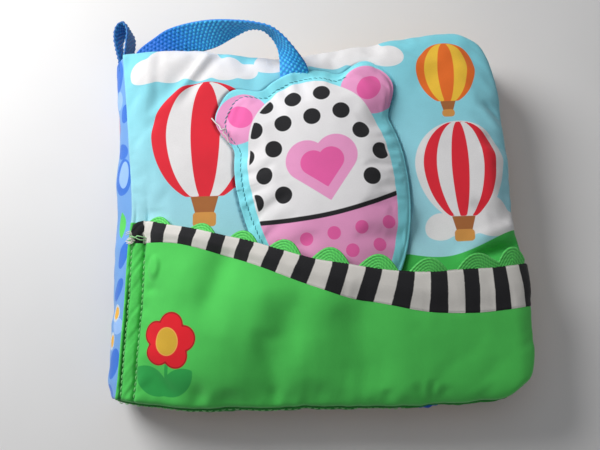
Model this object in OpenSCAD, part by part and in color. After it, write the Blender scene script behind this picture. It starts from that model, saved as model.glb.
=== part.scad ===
// Padded cloth book: two padded covers, padded leaves, a cloth spine,
// a pocket on the front cover and a stuffed toy on a webbing tether.
// Frame: +X from the spine to the fore-edge, +Y to the book's upper edge,
// +Z up through the front cover. Origin at the middle of the back cover's
// outer face, so the closed book lies on Z = 0.

/* [Covers] */
// Width of a cover from its spine seam to its fore-edge
cover_w = 193; // [189:1:197]
// Height of a cover from its lower to its upper edge
cover_h = 175; // [172:1:178]
// Thickness of a padded cover
cover_t = 8.5; // [8:0.5:9]
// Plan radius of the covers' corners at the fore-edge
corner_r = 12; // [10:1:14]
// Width of the flat stitched margin beside the spine seam
margin_w = 11; // [10:1:12]

/* [Pages] */
// Thickness of one padded leaf
leaf_t = 6.6; // [6.2:0.2:7]
// Distance by which the leaves stop short of the covers
leaf_short = 2.5; // [2:0.5:4]

/* [Spine] */
// Thickness of the cloth spine strip
spine_wall = 1.8; // [1.4:0.2:2.2]

/* [Toy] */
// Width of the stuffed toy without its ears
toy_w = 82; // [76:1:86]
// Height of the toy above its middle
toy_up = 53; // [50:1:54]
// Length of the toy below its middle
toy_down = 72; // [66:1:74]
// Thickness of the toy
toy_t = 13; // [11:0.5:13]
// How far the ears stand out of the head
ear_out = 14.5; // [10:0.5:16]
// Direction of the ears from the middle of the toy, in degrees
ear_a = 48; // [44:1:54]
// Lean of the toy in the pocket, in degrees
toy_lean = 11; // [6:1:13]

/* [Pocket] */
// How far the pocket stands off the cover over the toy
pocket_rise = 14; // [13.5:0.5:16]
// Thickness of the pocket cloth
pocket_t = 1.4; // [1:0.2:1.6]
// Width of the striped binding at its spine end
binding_w0 = 9.5; // [8:0.5:11]
// Width of the striped binding at the fore-edge
binding_w1 = 20.5; // [17:0.5:22]
// Height of a hump of the rick-rack above the binding
rick_h = 5.5; // [4:0.5:7]
// Pitch of the rick-rack's humps
rick_pitch = 21.6; // [18:0.4:25]

/* [Webbing] */
// Width of the hang loop's webbing
web_w = 15.5; // [14:0.5:15.5]
// Thickness of the webbing
web_t = 1.4; // [1.2:0.1:1.4]
// Inside radius of the hang loop at its far end
loop_r = 4.2; // [3.8:0.1:4.6]

/* [Hidden] */
$fn = 64;

// plan limits
x_seam = -cover_w/2 - 1.5;
x_fore = x_seam + cover_w;
x_pad = x_seam + margin_w;
y_edge = cover_h/2;
// levels
z_leaf = cover_t + 0.4;
z_pages = z_leaf + 2*leaf_t + 0.2;
z_front = z_pages + 2;
z_top = z_front + cover_t;
z_hf = z_front + cover_t/2;
z_hb = cover_t/2;
pad_edge = 6;
flange_t = 2.4;
roll_r = 1.6;
// half-round spine between the two seam rolls
spine_r = (z_hf - z_hb)/2 - roll_r - 1.75;
spine_z = (z_hf + z_hb)/2;
spine_x = x_seam - 2.2;
// toy
toy_c = [2, 18];
toy_z0 = z_top + 0.3;
toy_seam = toy_z0 + 0.45*toy_t;
// pocket
px0 = x_seam + 2.5;
px1 = x_fore - 1.2;
px_c = 3;

function clamp01(t) = min(1, max(0, t));
function ease(t) = let (c = clamp01(t)) c*c*(3 - 2*c);

// ---- closed solids made of rings or of grids -------------------------------

function rrect(x0, x1, y0, y1, rl, rr, n) =
    [for (c = [[x1 - rr, y0 + rr, -90, rr], [x1 - rr, y1 - rr, 0, rr],
               [x0 + rl, y1 - rl, 90, rl], [x0 + rl, y0 + rl, 180, rl]])
        for (i = [0:n]) let (a = c[2] + 90*i/n)
            [c[0] + c[3]*cos(a), c[1] + c[3]*sin(a)]];

// side faces of a stack of rings of m points, each ring above the last
function ring_faces(m, rings) =
    [for (k = [0:rings - 2]) for (i = [0:m - 1]) let (j = (i + 1) % m)
        each [[k*m + i, (k + 1)*m + i, (k + 1)*m + j],
              [k*m + i, (k + 1)*m + j, k*m + j]]];

// padded slab with a rounded rim
module pad(x0, x1, y0, y1, z0, z1, rl, rr, e) {
    n = 6;
    m = 4*(n + 1);
    turns = [-90:22.5:90];
    rings = 9;
    pts = [for (a = turns) let (i = e*(1 - cos(a)))
        each [for (p = rrect(x0 + i, x1 - i, y0 + i, y1 - i,
                             max(rl - i, 0.5), max(rr - i, 0.5), n))
            [p[0], p[1], (z0 + z1)/2 + (z1 - z0)/2*sin(a)]]];
    polyhedron(pts, concat([[for (i = [0:m - 1]) i]],
                           ring_faces(m, rings),
                           [[for (i = [m - 1:-1:0]) (rings - 1)*m + i]]));
}

// sheet between two grids of (nu + 1) by (nv + 1) points
module sheet(lower, upper, nu, nv) {
    c = nv + 1;
    o = (nu + 1)*c;
    pts = concat([for (r = lower) each r], [for (r = upper) each r]);
    quads = concat(
        [for (i = [0:nu - 1]) for (j = [0:nv - 1])
            [o + i*c + j, o + i*c + j + 1, o + (i + 1)*c + j + 1, o + (i + 1)*c + j]],
        [for (i = [0:nu - 1]) for (j = [0:nv - 1])
            [i*c + j, (i + 1)*c + j, (i + 1)*c + j + 1, i*c + j + 1]],
        [for (j = [0:nv - 1]) [j, j + 1, o + j + 1, o + j]],
        [for (j = [0:nv - 1]) let (b = nu*c + j) [b, o + b, o + b + 1, b + 1]],
        [for (i = [0:nu - 1]) [(i + 1)*c, i*c, o + i*c, o + (i + 1)*c]],
        [for (i = [0:nu - 1]) let (b = i*c + nv) [b, b + c, o + b + c, o + b]]);
    polyhedron(pts, [for (q = quads) each [[q[0], q[1], q[2]], [q[0], q[2], q[3]]]]);
}

// ---- covers, leaves and spine ----------------------------------------------

module cover(z0) {
    zm = z0 + cover_t/2;
    union() {
        pad(x_pad, x_fore, -y_edge, y_edge, z0, z0 + cover_t, 4, corner_r, pad_edge);
        translate([x_seam, 1 - y_edge, zm - flange_t/2])
            cube([margin_w + 5, cover_h - 2, flange_t]);
        translate([x_seam, y_edge - 1, zm]) rotate([90, 0, 0])
            cylinder(r = roll_r, h = cover_h - 2);
    }
}

module back_cover() { color("lightseagreen") cover(0); }
module front_cover() { color("mediumturquoise") cover(z_front); }

module pages() {
    x0 = x_pad + 1;
    x1 = x_fore - leaf_short;
    ye = y_edge - leaf_short;
    color("lemonchiffon") union() {
        for (k = [0, 1]) let (z0 = z_leaf + k*(leaf_t + 0.2)) {
            pad(x0, x1, -ye, ye, z0, z0 + leaf_t, 4, corner_r, 4.5);
            translate([x_seam + 2, 1 - ye, z0 + leaf_t/2 - 0.8])
                cube([margin_w + 3, 2*ye - 2, 1.6]);
        }
        // gathered seam allowance of the leaves
        translate([x_seam + 2, 1 - ye, z_leaf + leaf_t/2 - 0.8])
            cube([2.5, 2*ye - 2, leaf_t + 1.8]);
        // web that is sewn to the inside of the spine
        translate([spine_x - spine_r + spine_wall + 0.25, 1 - ye, spine_z - 0.8])
            cube([spine_r - spine_wall + 5.4, 2*ye - 2, 1.6]);
    }
}

module spine() {
    color("cornflowerblue") translate([0, y_edge - 0.5, 0]) rotate([90, 0, 0])
        linear_extrude(cover_h - 1) {
            translate([spine_x, spine_z]) difference() {
                circle(r = spine_r);
                circle(r = spine_r - spine_wall);
                translate([0, -2*spine_r]) square([2*spine_r, 4*spine_r]);
            }
            // edges turned in under the margins
            for (s = [spine_z + spine_r - spine_wall, spine_z - spine_r])
                translate([spine_x - 0.01, s]) square([4.2, spine_wall]);
        }
}

module hang_loop() {
    y0 = y_edge + 8.5;
    y1 = y_edge + 19.5;
    xl = x_seam - 5.5;
    color("dodgerblue") translate([0, 0, spine_z - web_w/2]) linear_extrude(web_w)
        difference() {
            union() {
                hull() {
                    translate([xl, y1]) circle(r = loop_r + 1.7, $fn = 32);
                    translate([xl + 0.5, y0]) circle(r = 4.3, $fn = 32);
                }
                hull() {
                    translate([xl + 0.5, y0]) circle(r = 4.3, $fn = 32);
                    translate([x_seam - 4.6, y_edge - 0.3]) square([3.4, 0.1]);
                }
            }
            hull() {
                translate([xl, y1]) circle(r = loop_r, $fn = 32);
                translate([xl + 0.5, y0]) circle(r = 2.6, $fn = 32);
            }
        }
}

// ---- toy ---------------------------------------------------------------------

// radius of the outline, an egg with two round ears
function toy_r(a) =
    let (b = sin(a) > 0 ? toy_up : toy_down, w = toy_w/2,
         e1 = (a - ear_a)/15, e2 = (a - 180 + ear_a)/15)
    w*b/sqrt(pow(b*cos(a), 2) + pow(w*sin(a), 2))
        + ear_out*(exp(-pow(e1, 4)) + exp(-pow(e2, 4)));
function toy_at(a, s) = [toy_c[0] + s*toy_r(a)*cos(a + toy_lean),
                         toy_c[1] + s*toy_r(a)*sin(a + toy_lean)];
function toy_hi(s) = toy_seam + (toy_z0 + toy_t - toy_seam)*pow(max(0, 1 - pow(s, 2.6)), 0.6);
function toy_lo(s) = s < 0.8 ? toy_z0
    : toy_z0 + (toy_seam - toy_z0)*(1 - sqrt(max(0, 1 - pow((s - 0.8)/0.2, 2))));

module toy() {
    m = 60;
    lows = [0.6, 0.8, 0.88, 0.94, 0.98];
    highs = [1, 0.97, 0.92, 0.84, 0.72, 0.56, 0.36, 0.16];
    rings = len(lows) + len(highs);
    pts = concat(
        [for (s = lows) each [for (i = [0:m - 1]) let (p = toy_at(360*i/m, s))
            [p[0], p[1], toy_lo(s)]]],
        [for (s = highs) each [for (i = [0:m - 1]) let (p = toy_at(360*i/m, s))
            [p[0], p[1], toy_hi(s)]]]);
    color("whitesmoke")
        polyhedron(pts, concat([[for (i = [0:m - 1]) i]],
                               ring_faces(m, rings),
                               [[for (i = [m - 1:-1:0]) (rings - 1)*m + i]]));
}

// ---- pocket and its trims ------------------------------------------------------

// surface that the pocket lies on: down over the cover's rim at the fore-edge
// and the lower edge, and in a slope from the pad to the margin at the spine
function inset(x, y) =
    let (u = x - (x_fore - corner_r), v = abs(y) - (y_edge - corner_r))
    u > 0 && v > 0 ? corner_r - norm([u, v])
                   : min(x_fore - x, y_edge - abs(y));
function cover_z(x, y) =
    let (t = 1 - clamp01(inset(x, y)/pad_edge), m = z_hf + flange_t/2)
    min(m + (z_top - m)*ease((x - x_pad + 5)/8),
        z_hf + cover_t/2*sqrt(1 - t*t) + 0.9*t);
// lower edge, mouth line and width of the binding
function pocket_lo(x) =
    let (r = corner_r - 0.8, u = max(0, x - (x_fore - corner_r)))
    0.8 - y_edge + r - sqrt(max(0, r*r - u*u));
function mouth(x) = -2 - 30*ease((x + 95)/138) + 4.5*ease((x - 50)/45);
function binding_w(x) = binding_w0 + (binding_w1 - binding_w0)*ease((x + 40)/150);
// stand-off of the cloth from the cover
function lift(x, y) =
    let (s = x < px_c ? (x - px_c)/(px_c - px0) : (x - px_c)/(px1 - px_c))
    pocket_rise*pow(max(0, 1 - s*s), 1.2)*sin(90*clamp01((y - pocket_lo(x))/55));
function pocket_z(x, y) = cover_z(x, y) + 0.3 + lift(x, y);

module strip(x0, x1, nu, nv, lo, hi, z0, z1) {
    at = function (i, j, z) let (x = x0 + (x1 - x0)*i/nu, y = lo(x) + (hi(x) - lo(x))*j/nv)
        [x, y, pocket_z(x, y) + z];
    sheet([for (i = [0:nu]) [for (j = [0:nv]) at(i, j, z0)]],
          [for (i = [0:nu]) [for (j = [0:nv]) at(i, j, z1)]], nu, nv);
}

module pocket() {
    color("mediumseagreen")
        strip(px0, px1, 52, 18, function (x) pocket_lo(x), function (x) mouth(x), 0, pocket_t);
}

module pocket_binding() {
    color("dimgray")
        strip(px0 + 8, px1, 52, 4, function (x) mouth(x) - binding_w(x),
              function (x) mouth(x), pocket_t + 0.3, pocket_t + 1.4);
}

module rickrack() {
    color("limegreen")
        strip(px0 + 8, px1 - 1, 108, 2, function (x) mouth(x) + 0.1,
              function (x) mouth(x) + 0.9 + rick_h*pow(max(0, cos(360*(x + 78)/rick_pitch)), 0.8),
              0.1, 1.3);
}

// ---- tether --------------------------------------------------------------------

// Stations along the tether, each with the two edges of the webbing: the
// outer edge first. Heights are counted from the underside of the front cover.
tether = [
    [[-95.5, 83, -1], [-95.5, 66.5, -1]],
    [[-88, 88, -1], [-80, 75, -1]],
    [[-79, 93.5, 0], [-70.5, 81, -1]],
    [[-69, 98, 8], [-60.5, 90, 0]],
    [[-58, 99.5, 15], [-51, 91.5, 5.5]],
    [[-47, 98.5, 21], [-43.5, 93.5, 8]],
    [[-35.5, 95.5, 25.5], [-35.5, 95, 10.5]],
    [[-25, 91.5, 28], [-27, 95, 13]],
    [[-16, 86.5, 28.5], [-20.5, 91, 14.5]],
    [[-8, 82, 27], [-17, 85, 15.5]],
    [[-3, 77.5, 23], [-17, 78, 16.5]],
    [[-1.5, 73.5, 19], [-17.5, 70.5, 17]],
    [[-1, 71.4, 16.5], [-18, 67, 16]]];

function spline(a, b, c, d, t) =
    0.5*(2*b + (c - a)*t + (2*a - 5*b + 4*c - d)*t*t + (3*b - a - 3*c + d)*t*t*t);
function rail(k, t) =
    let (n = len(tether) - 1, f = min(t, n - 0.0001), i = floor(f),
         a = tether[max(0, i - 1)][k], b = tether[i][k],
         c = tether[i + 1][k], d = tether[min(n, i + 2)][k])
    spline(a, b, c, d, f - i) + [0, 0, z_front];
function unit(v) = v/norm(v);
function face(t) =
    let (h = 0.05, n = len(tether) - 1, lo = max(0, t - h), hi = min(n, t + h),
         go = rail(0, hi) + rail(1, hi) - rail(0, lo) - rail(1, lo))
    unit(cross(go, rail(0, t) - rail(1, t)));

module toy_tether() {
    nu = 3*(len(tether) - 1);
    at = function (i, j, s) let (t = i/3, f = j/2)
        rail(1, t)*(1 - f) + rail(0, t)*f + face(t)*s*web_t/2;
    color("dodgerblue")
        sheet([for (i = [0:nu]) [for (j = [0:2]) at(i, j, -1)]],
              [for (i = [0:nu]) [for (j = [0:2]) at(i, j, 1)]], nu, 2);
}

back_cover();
pages();
spine();
hang_loop();
front_cover();
pocket();
pocket_binding();
rickrack();
toy();
toy_tether();
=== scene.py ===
import math

import bpy
import numpy as np
from mathutils import Matrix


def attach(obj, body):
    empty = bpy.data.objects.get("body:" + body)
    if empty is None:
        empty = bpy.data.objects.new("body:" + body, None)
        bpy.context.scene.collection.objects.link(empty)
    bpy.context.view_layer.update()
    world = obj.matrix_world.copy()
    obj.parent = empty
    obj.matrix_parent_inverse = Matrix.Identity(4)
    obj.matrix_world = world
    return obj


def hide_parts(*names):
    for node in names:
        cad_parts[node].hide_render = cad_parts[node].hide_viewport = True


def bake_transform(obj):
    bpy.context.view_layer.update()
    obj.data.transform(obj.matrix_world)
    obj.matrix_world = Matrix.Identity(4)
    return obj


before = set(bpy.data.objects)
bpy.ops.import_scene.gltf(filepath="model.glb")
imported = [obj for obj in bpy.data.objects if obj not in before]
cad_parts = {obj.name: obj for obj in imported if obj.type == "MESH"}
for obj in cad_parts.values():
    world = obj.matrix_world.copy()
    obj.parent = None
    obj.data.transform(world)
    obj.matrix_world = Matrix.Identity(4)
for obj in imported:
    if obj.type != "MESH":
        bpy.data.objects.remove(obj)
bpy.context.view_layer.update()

MM = 0.001
PI = math.pi


# ------------------------------------------------------------------ numbers
def lin(c):
    """sRGB 0-255 to linear."""
    out = []
    for v in c:
        v = v / 255.0
        out.append(v / 12.92 if v <= 0.04045 else ((v + 0.055) / 1.055) ** 2.4)
    return tuple(out)


def clamp01(x):
    return np.clip(x, 0.0, 1.0)


def ease(x):
    t = clamp01(x)
    return t * t * (3 - 2 * t)


def gauss(x):
    return np.exp(-x * x)


def dome(d, w):
    """0 at the edge, 1 from w inwards, along a quarter circle."""
    t = 1 - clamp01(d / w)
    return np.sqrt(np.clip(1 - t * t, 0, 1))


def smin(a, b, k):
    h = clamp01(0.5 + 0.5 * (b - a) / k)
    return b + (a - b) * h - k * h * (1 - h)


def _hash(i, j, seed):
    n = (i * 374761393 + j * 668265263 + seed * 974634777) & 0xFFFFFFFF
    n = ((n ^ (n >> 13)) * 1274126177) & 0xFFFFFFFF
    return ((n ^ (n >> 16)) & 0xFFFF) / 32767.5 - 1.0


def noise(x, y=0.0, seed=0):
    """Smooth value noise, -1 to 1, one lattice cell a unit."""
    x, y = np.broadcast_arrays(np.asarray(x, float), np.asarray(y, float))
    i, j = np.floor(x).astype(np.int64), np.floor(y).astype(np.int64)
    f, g = x - i, y - j
    f, g = f * f * f * (f * (f * 6 - 15) + 10), g * g * g * (g * (g * 6 - 15) + 10)
    a, b = _hash(i, j, seed), _hash(i + 1, j, seed)
    c, d = _hash(i, j + 1, seed), _hash(i + 1, j + 1, seed)
    return (a + (b - a) * f) * (1 - g) + (c + (d - c) * f) * g


def fbm(x, y, seed=0, n=3):
    return sum(noise(x * 2**k, y * 2**k, seed + 17 * k) / 2**k for k in range(n))


def spline(points, n, even=True):
    """n points on a smooth curve through the given ones, evenly spaced if asked."""
    p = np.asarray(points, float)
    t = np.concatenate([[0], np.cumsum(np.sqrt(np.linalg.norm(np.diff(p, axis=0), axis=1)))])
    m = np.zeros_like(p)
    m[1:-1] = (
        (p[1:-1] - p[:-2]) / (t[1:-1] - t[:-2])[:, None]
        - (p[2:] - p[:-2]) / (t[2:] - t[:-2])[:, None]
        + (p[2:] - p[1:-1]) / (t[2:] - t[1:-1])[:, None]
    )
    m[0] = (p[1] - p[0]) / (t[1] - t[0])
    m[-1] = (p[-1] - p[-2]) / (t[-1] - t[-2])

    def at(s):
        k = np.clip(np.searchsorted(t, s, side="right") - 1, 0, len(t) - 2)
        h = (t[k + 1] - t[k])[:, None]
        f = ((s - t[k]) / (t[k + 1] - t[k]))[:, None]
        return (
            (2 * f**3 - 3 * f**2 + 1) * p[k]
            + (f**3 - 2 * f**2 + f) * h * m[k]
            + (-2 * f**3 + 3 * f**2) * p[k + 1]
            + (f**3 - f**2) * h * m[k + 1]
        )

    if not even:
        return at(np.linspace(t[0], t[-1], n))
    q = at(np.linspace(t[0], t[-1], max(1500, 3 * n)))
    s = np.concatenate([[0], np.cumsum(np.linalg.norm(np.diff(q, axis=0), axis=1))])
    w = np.linspace(0, s[-1], n)
    return np.stack([np.interp(w, s, q[:, k]) for k in range(q.shape[1])], 1)


def curve_y(points, x):
    """A smooth function through (x, y) points."""
    q = spline(points, 800, even=False)
    return np.interp(x, q[:, 0], q[:, 1])


def cubic(n, x):
    """Weights of a cubic through n even samples on 0..1, at x."""
    t = np.clip(x, 0, 1) * (n - 1)
    i = np.clip(np.floor(t).astype(int), 0, n - 2)
    f = t - i
    w = [
        -0.5 * f + f**2 - 0.5 * f**3,
        1 - 2.5 * f**2 + 1.5 * f**3,
        0.5 * f + 2 * f**2 - 1.5 * f**3,
        -0.5 * f**2 + 0.5 * f**3,
    ]
    m = np.zeros((len(x), n))
    for k in range(4):
        np.add.at(m, (np.arange(len(x)), np.clip(i + k - 1, 0, n - 1)), w[k])
    return m


def refine(d, nu, nv):
    """A coarse grid of vectors on a finer grid, of so many rows or at given places."""
    nu, nv = (np.linspace(0, 1, k) if isinstance(k, int) else k for k in (nu, nv))
    a, b = cubic(d.shape[0], nu), cubic(d.shape[1], nv)
    return np.einsum("ia,abk,jb->ijk", a, d, b, optimize=True)


def normals(p):
    du, dv = np.gradient(p, axis=0), np.gradient(p, axis=1)
    n = np.cross(du, dv)
    return n / np.maximum(np.linalg.norm(n, axis=2, keepdims=True), 1e-9)


def sample(p, i, j):
    """Bilinear look-up in a grid at fractional rows and columns, carried on past its edges."""
    i0 = np.clip(np.floor(i).astype(int), 0, p.shape[0] - 2)
    j0 = np.clip(np.floor(j).astype(int), 0, p.shape[1] - 2)
    f, g = (i - i0)[..., None], (j - j0)[..., None]
    return (p[i0, j0] * (1 - f) + p[i0 + 1, j0] * f) * (1 - g) + (
        p[i0, j0 + 1] * (1 - f) + p[i0 + 1, j0 + 1] * f
    ) * g


def smooth(d, times=1):
    for _ in range(times):
        e = np.pad(d, [(1, 1), (1, 1)] + [(0, 0)] * (d.ndim - 2), mode="edge")
        d = (e[:-2, 1:-1] + e[2:, 1:-1] + e[1:-1, :-2] + e[1:-1, 2:] + 4 * e[1:-1, 1:-1]) / 8
    return d


# ------------------------------------------------------------------ meshes
def grid_faces(nu, nv, off=0, flip=False, wrap_v=False):
    i, j = np.arange(nu - 1)[:, None], np.arange(nv if wrap_v else nv - 1)[None]
    k = (j + 1) % nv
    f = np.stack([i * nv + j, (i + 1) * nv + j, (i + 1) * nv + k, i * nv + k], -1)
    f = f.reshape(-1, 4) + off
    return f[:, ::-1] if flip else f


def border(nu, nv):
    """A grid's outer loop of indices, anticlockwise."""
    a = np.arange(nu) * nv
    b = (nu - 1) * nv + np.arange(1, nv)
    c = np.arange(nu - 2, -1, -1) * nv + nv - 1
    d = np.arange(nv - 2, 0, -1)
    return np.concatenate([a, b, c, d])


def make(name, verts, faces, flat=None, sides=None):
    verts, faces = np.asarray(verts, float), np.asarray(faces, np.int32)
    me = bpy.data.meshes.new(name)
    me.vertices.add(len(verts))
    me.vertices.foreach_set("co", (verts * MM).astype(np.float32).ravel())
    me.loops.add(faces.size)
    me.loops.foreach_set("vertex_index", faces.ravel())
    me.polygons.add(len(faces))
    me.polygons.foreach_set("loop_start", np.arange(0, faces.size, faces.shape[1], dtype=np.int32))
    me.polygons.foreach_set("use_smooth", np.ones(len(faces), bool))
    if sides is not None:
        me.polygons.foreach_set("material_index", np.asarray(sides, np.int32))
    me.update(calc_edges=True)
    if flat is None:
        flat = verts
    flat = np.asarray(flat, float)
    if flat.shape[1] == 2:
        flat = np.concatenate([flat, np.zeros((len(flat), 1))], 1)
    a = me.attributes.new("flat", "FLOAT_VECTOR", "POINT")
    a.data.foreach_set("vector", flat.astype(np.float32).ravel())
    o = bpy.data.objects.new(name, me)
    bpy.context.scene.collection.objects.link(o)
    return o


def shell(name, outer, inner, flat, weld=False, flat_in=None):
    """A closed mesh from an upper and a lower grid. Its sides are material 0 above, 1 below."""
    nu, nv, _ = outer.shape
    n = nu * nv
    top, low, ring = grid_faces(nu, nv), grid_faces(nu, nv, n, flip=True), border(nu, nv)
    fl = flat.reshape(n, -1)
    fl2 = fl if flat_in is None else flat_in.reshape(n, -1)
    if weld:
        to = np.arange(2 * n)
        to[ring + n] = ring
        low = to[low]
        keep = np.ones(2 * n, bool)
        keep[ring + n] = False
        new = np.cumsum(keep) - 1
        verts = np.concatenate([outer.reshape(n, 3), inner.reshape(n, 3)])[keep]
        faces = np.concatenate([new[top], new[low]])
        sides = np.repeat([0, 1], [len(top), len(low)])
        return make(name, verts, faces, np.concatenate([fl, fl2])[keep], sides)
    a, b = ring, np.roll(ring, -1)
    rim = np.stack([b, a, a + n, b + n], 1)
    verts = np.concatenate([outer.reshape(n, 3), inner.reshape(n, 3)])
    faces = np.concatenate([top, low, rim])
    sides = np.repeat([0, 1, 0], [len(top), len(low), len(rim)])
    return make(name, verts, faces, np.concatenate([fl, fl2]), sides)


def tube(path, r, sides=8, caps=True):
    """Rings along a path with rounded, closed ends: vertices and quads. The number of sides is even."""
    p = np.asarray(path, float)
    r = np.broadcast_to(np.asarray(r, float), (len(p),)).copy()
    t = np.gradient(p, axis=0)
    t /= np.maximum(np.linalg.norm(t, axis=1, keepdims=True), 1e-9)
    if caps:
        p = np.concatenate([[p[0] - t[0] * r[0] * 0.8, p[0] - t[0] * r[0] * 0.5], p, [p[-1] + t[-1] * r[-1] * 0.5, p[-1] + t[-1] * r[-1] * 0.8]])
        t = np.concatenate([t[:1], t[:1], t, t[-1:], t[-1:]])
        r = np.concatenate([[r[0] * 0.12, r[0] * 0.75], r, [r[-1] * 0.75, r[-1] * 0.12]])
    ref = np.array([0.0, 0.0, 1.0])
    x = np.cross(t, ref)
    bad = np.linalg.norm(x, axis=1) < 1e-3
    x[bad] = np.cross(t[bad], [1.0, 0.0, 0.0])
    x /= np.linalg.norm(x, axis=1, keepdims=True)
    y = np.cross(x, t)
    a = np.linspace(0, 2 * PI, sides, endpoint=False)[None, :, None]
    ring = p[:, None] + r[:, None, None] * (np.cos(a) * x[:, None] + np.sin(a) * y[:, None])
    n = len(p)
    ends = []
    for base, flip in ((0, False), ((n - 1) * sides, True)):
        for k in range(1, sides - 2, 2):
            q = [base, base + k, base + k + 1, base + k + 2]
            ends.append(q[::-1] if flip else q)
    return ring.reshape(-1, 3), np.concatenate([grid_faces(n, sides, wrap_v=True), np.array(ends)])


def join(parts):
    vs, fs, n = [], [], 0
    for v, f in parts:
        vs.append(v)
        fs.append(np.asarray(f) + n)
        n += len(v)
    return np.concatenate(vs), np.concatenate(fs)


def stitch(a, b, up, r, sink=0.25):
    """One sewn stitch from a to b: a short thread that dives into the cloth at both ends."""
    s = np.linspace(0, 1, 6)[:, None]
    lift = (np.sin(PI * s) ** 0.6) * r * 1.0 - sink * r
    p = a + (b - a) * s + up * lift
    return tube(p, r * (0.72 + 0.28 * np.sin(PI * s[:, 0])), 6, caps=True)


def stitches(path, up, pitch, length, r, seed=0, wander=0.0, lean=0.0):
    """A run of stitches along a path, with the outward direction at each point of it."""
    path, up = np.asarray(path, float), np.asarray(up, float)
    s = np.concatenate([[0], np.cumsum(np.linalg.norm(np.diff(path, axis=0), axis=1))])
    at = np.arange(pitch * 0.5, s[-1] - length, pitch)
    parts = []

    def on(x):
        return (
            np.array([np.interp(x, s, path[:, k]) for k in range(3)]),
            np.array([np.interp(x, s, up[:, k]) for k in range(3)]),
        )

    for k, x in enumerate(at):
        j = float(noise(k * 1.7 + 0.5, seed + 0.5, seed)) * wander
        a, ua = on(x + j * 0.3)
        b, ub = on(x + length + j * 0.3)
        d = b - a
        side = np.cross(ua, d)
        side /= max(np.linalg.norm(side), 1e-9)
        a, b = a + side * (lean + j * 0.35), b - side * (lean - j * 0.35)
        parts.append(stitch(a, b, ua / max(np.linalg.norm(ua), 1e-9), r))
    return join(parts)


# ------------------------------------------------------------------ simulated cloth
def relax(start, pin, frames=16, grow=0.02, pressure=0.0, bend=0.6, cap=3.0, fall=0.0):
    """Lets a grid of cloth that is a little too large for its pinned edge settle, and returns how far each point moved.
    The sheet is run at ten times its size, which suits the solver, and its result is taken as plain positions."""
    nu, nv, _ = start.shape
    big = start * MM * 10
    me = bpy.data.meshes.new("sim")
    me.from_pydata(big.reshape(-1, 3).tolist(), [], grid_faces(nu, nv).tolist())
    o = bpy.data.objects.new("sim", me)
    bpy.context.scene.collection.objects.link(o)
    g = o.vertex_groups.new(name="pin")
    w = pin.reshape(-1)
    for value in np.unique(np.round(w, 2)):
        if value > 0:
            g.add(np.nonzero(np.abs(np.round(w, 2) - value) < 1e-6)[0].tolist(), float(value), "REPLACE")
    m = o.modifiers.new("cloth", "CLOTH")
    s = m.settings
    s.quality = 6
    s.mass = 0.2
    s.tension_stiffness = s.compression_stiffness = 18
    s.shear_stiffness = 8
    s.bending_stiffness = bend
    s.tension_damping = s.compression_damping = s.shear_damping = 6
    s.bending_damping = 0.5
    s.air_damping = 3
    s.vertex_group_mass = "pin"
    s.pin_stiffness = 1
    s.shrink_min = -grow
    s.use_pressure = pressure > 0
    s.uniform_pressure_force = pressure
    s.effector_weights.gravity = fall
    m.collision_settings.use_collision = False
    m.collision_settings.use_self_collision = False
    m.point_cache.frame_start, m.point_cache.frame_end = 1, frames
    scene = bpy.context.scene
    for f in range(1, frames + 1):
        scene.frame_set(f)
    e = o.evaluated_get(bpy.context.evaluated_depsgraph_get())
    got = np.zeros(nu * nv * 3, np.float32)
    e.data.vertices.foreach_get("co", got)
    scene.frame_set(1)
    bpy.data.objects.remove(o)
    bpy.data.meshes.remove(me)
    d = got.reshape(nu, nv, 3).astype(float) / (MM * 10) - start
    d[~np.isfinite(d)] = 0
    far = np.linalg.norm(d, axis=2, keepdims=True)
    return d * np.minimum(1, cap / np.maximum(far, 1e-9))


# ------------------------------------------------------------------ flat shapes, negative inside
def circle(x, y, cx, cy, r):
    return np.hypot(x - cx, y - cy) - r


def ellipse(x, y, cx, cy, a, b, turn=0.0):
    c, s = math.cos(math.radians(turn)), math.sin(math.radians(turn))
    p, q = (x - cx) * c + (y - cy) * s, -(x - cx) * s + (y - cy) * c
    k = np.hypot(p / a, q / b)
    g = np.hypot(p / a**2, q / b**2)
    return k * (k - 1) / np.maximum(g, 1e-6)


def slab(x, y, cx, cy, w, h, r=0.0, turn=0.0):
    c, s = math.cos(math.radians(turn)), math.sin(math.radians(turn))
    p, q = np.abs((x - cx) * c + (y - cy) * s) - w / 2 + r, np.abs(-(x - cx) * s + (y - cy) * c) - h / 2 + r
    return np.hypot(np.maximum(p, 0), np.maximum(q, 0)) + np.minimum(np.maximum(p, q), 0) - r


def line(x, y, a, b, w):
    a, b = np.array(a, float), np.array(b, float)
    d = b - a
    t = clamp01(((x - a[0]) * d[0] + (y - a[1]) * d[1]) / (d @ d))
    return np.hypot(x - a[0] - t * d[0], y - a[1] - t * d[1]) - w / 2


def arc(x, y, cx, cy, r, w, a0, a1):
    """Part of a ring, from a0 to a1 degrees."""
    mid, half = math.radians((a0 + a1) / 2), math.radians((a1 - a0) / 2)
    p, q = (x - cx) * math.cos(mid) + (y - cy) * math.sin(mid), -(x - cx) * math.sin(mid) + (y - cy) * math.cos(mid)
    ang = np.abs(np.arctan2(q, p))
    on = np.abs(np.hypot(p, q) - r)
    ends = np.hypot(p - r * math.cos(half), np.abs(q) - r * math.sin(half))
    return np.where(ang < half, on, ends) - w / 2


def cloud(x, y, puffs, base=None):
    d = None
    for cx, cy, r in puffs:
        e = circle(x, y, cx, cy, r)
        d = e if d is None else smin(d, e, 2.0)
    if base is not None:
        d = -smin(-d, y - base, 5.0)
    return d


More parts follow.
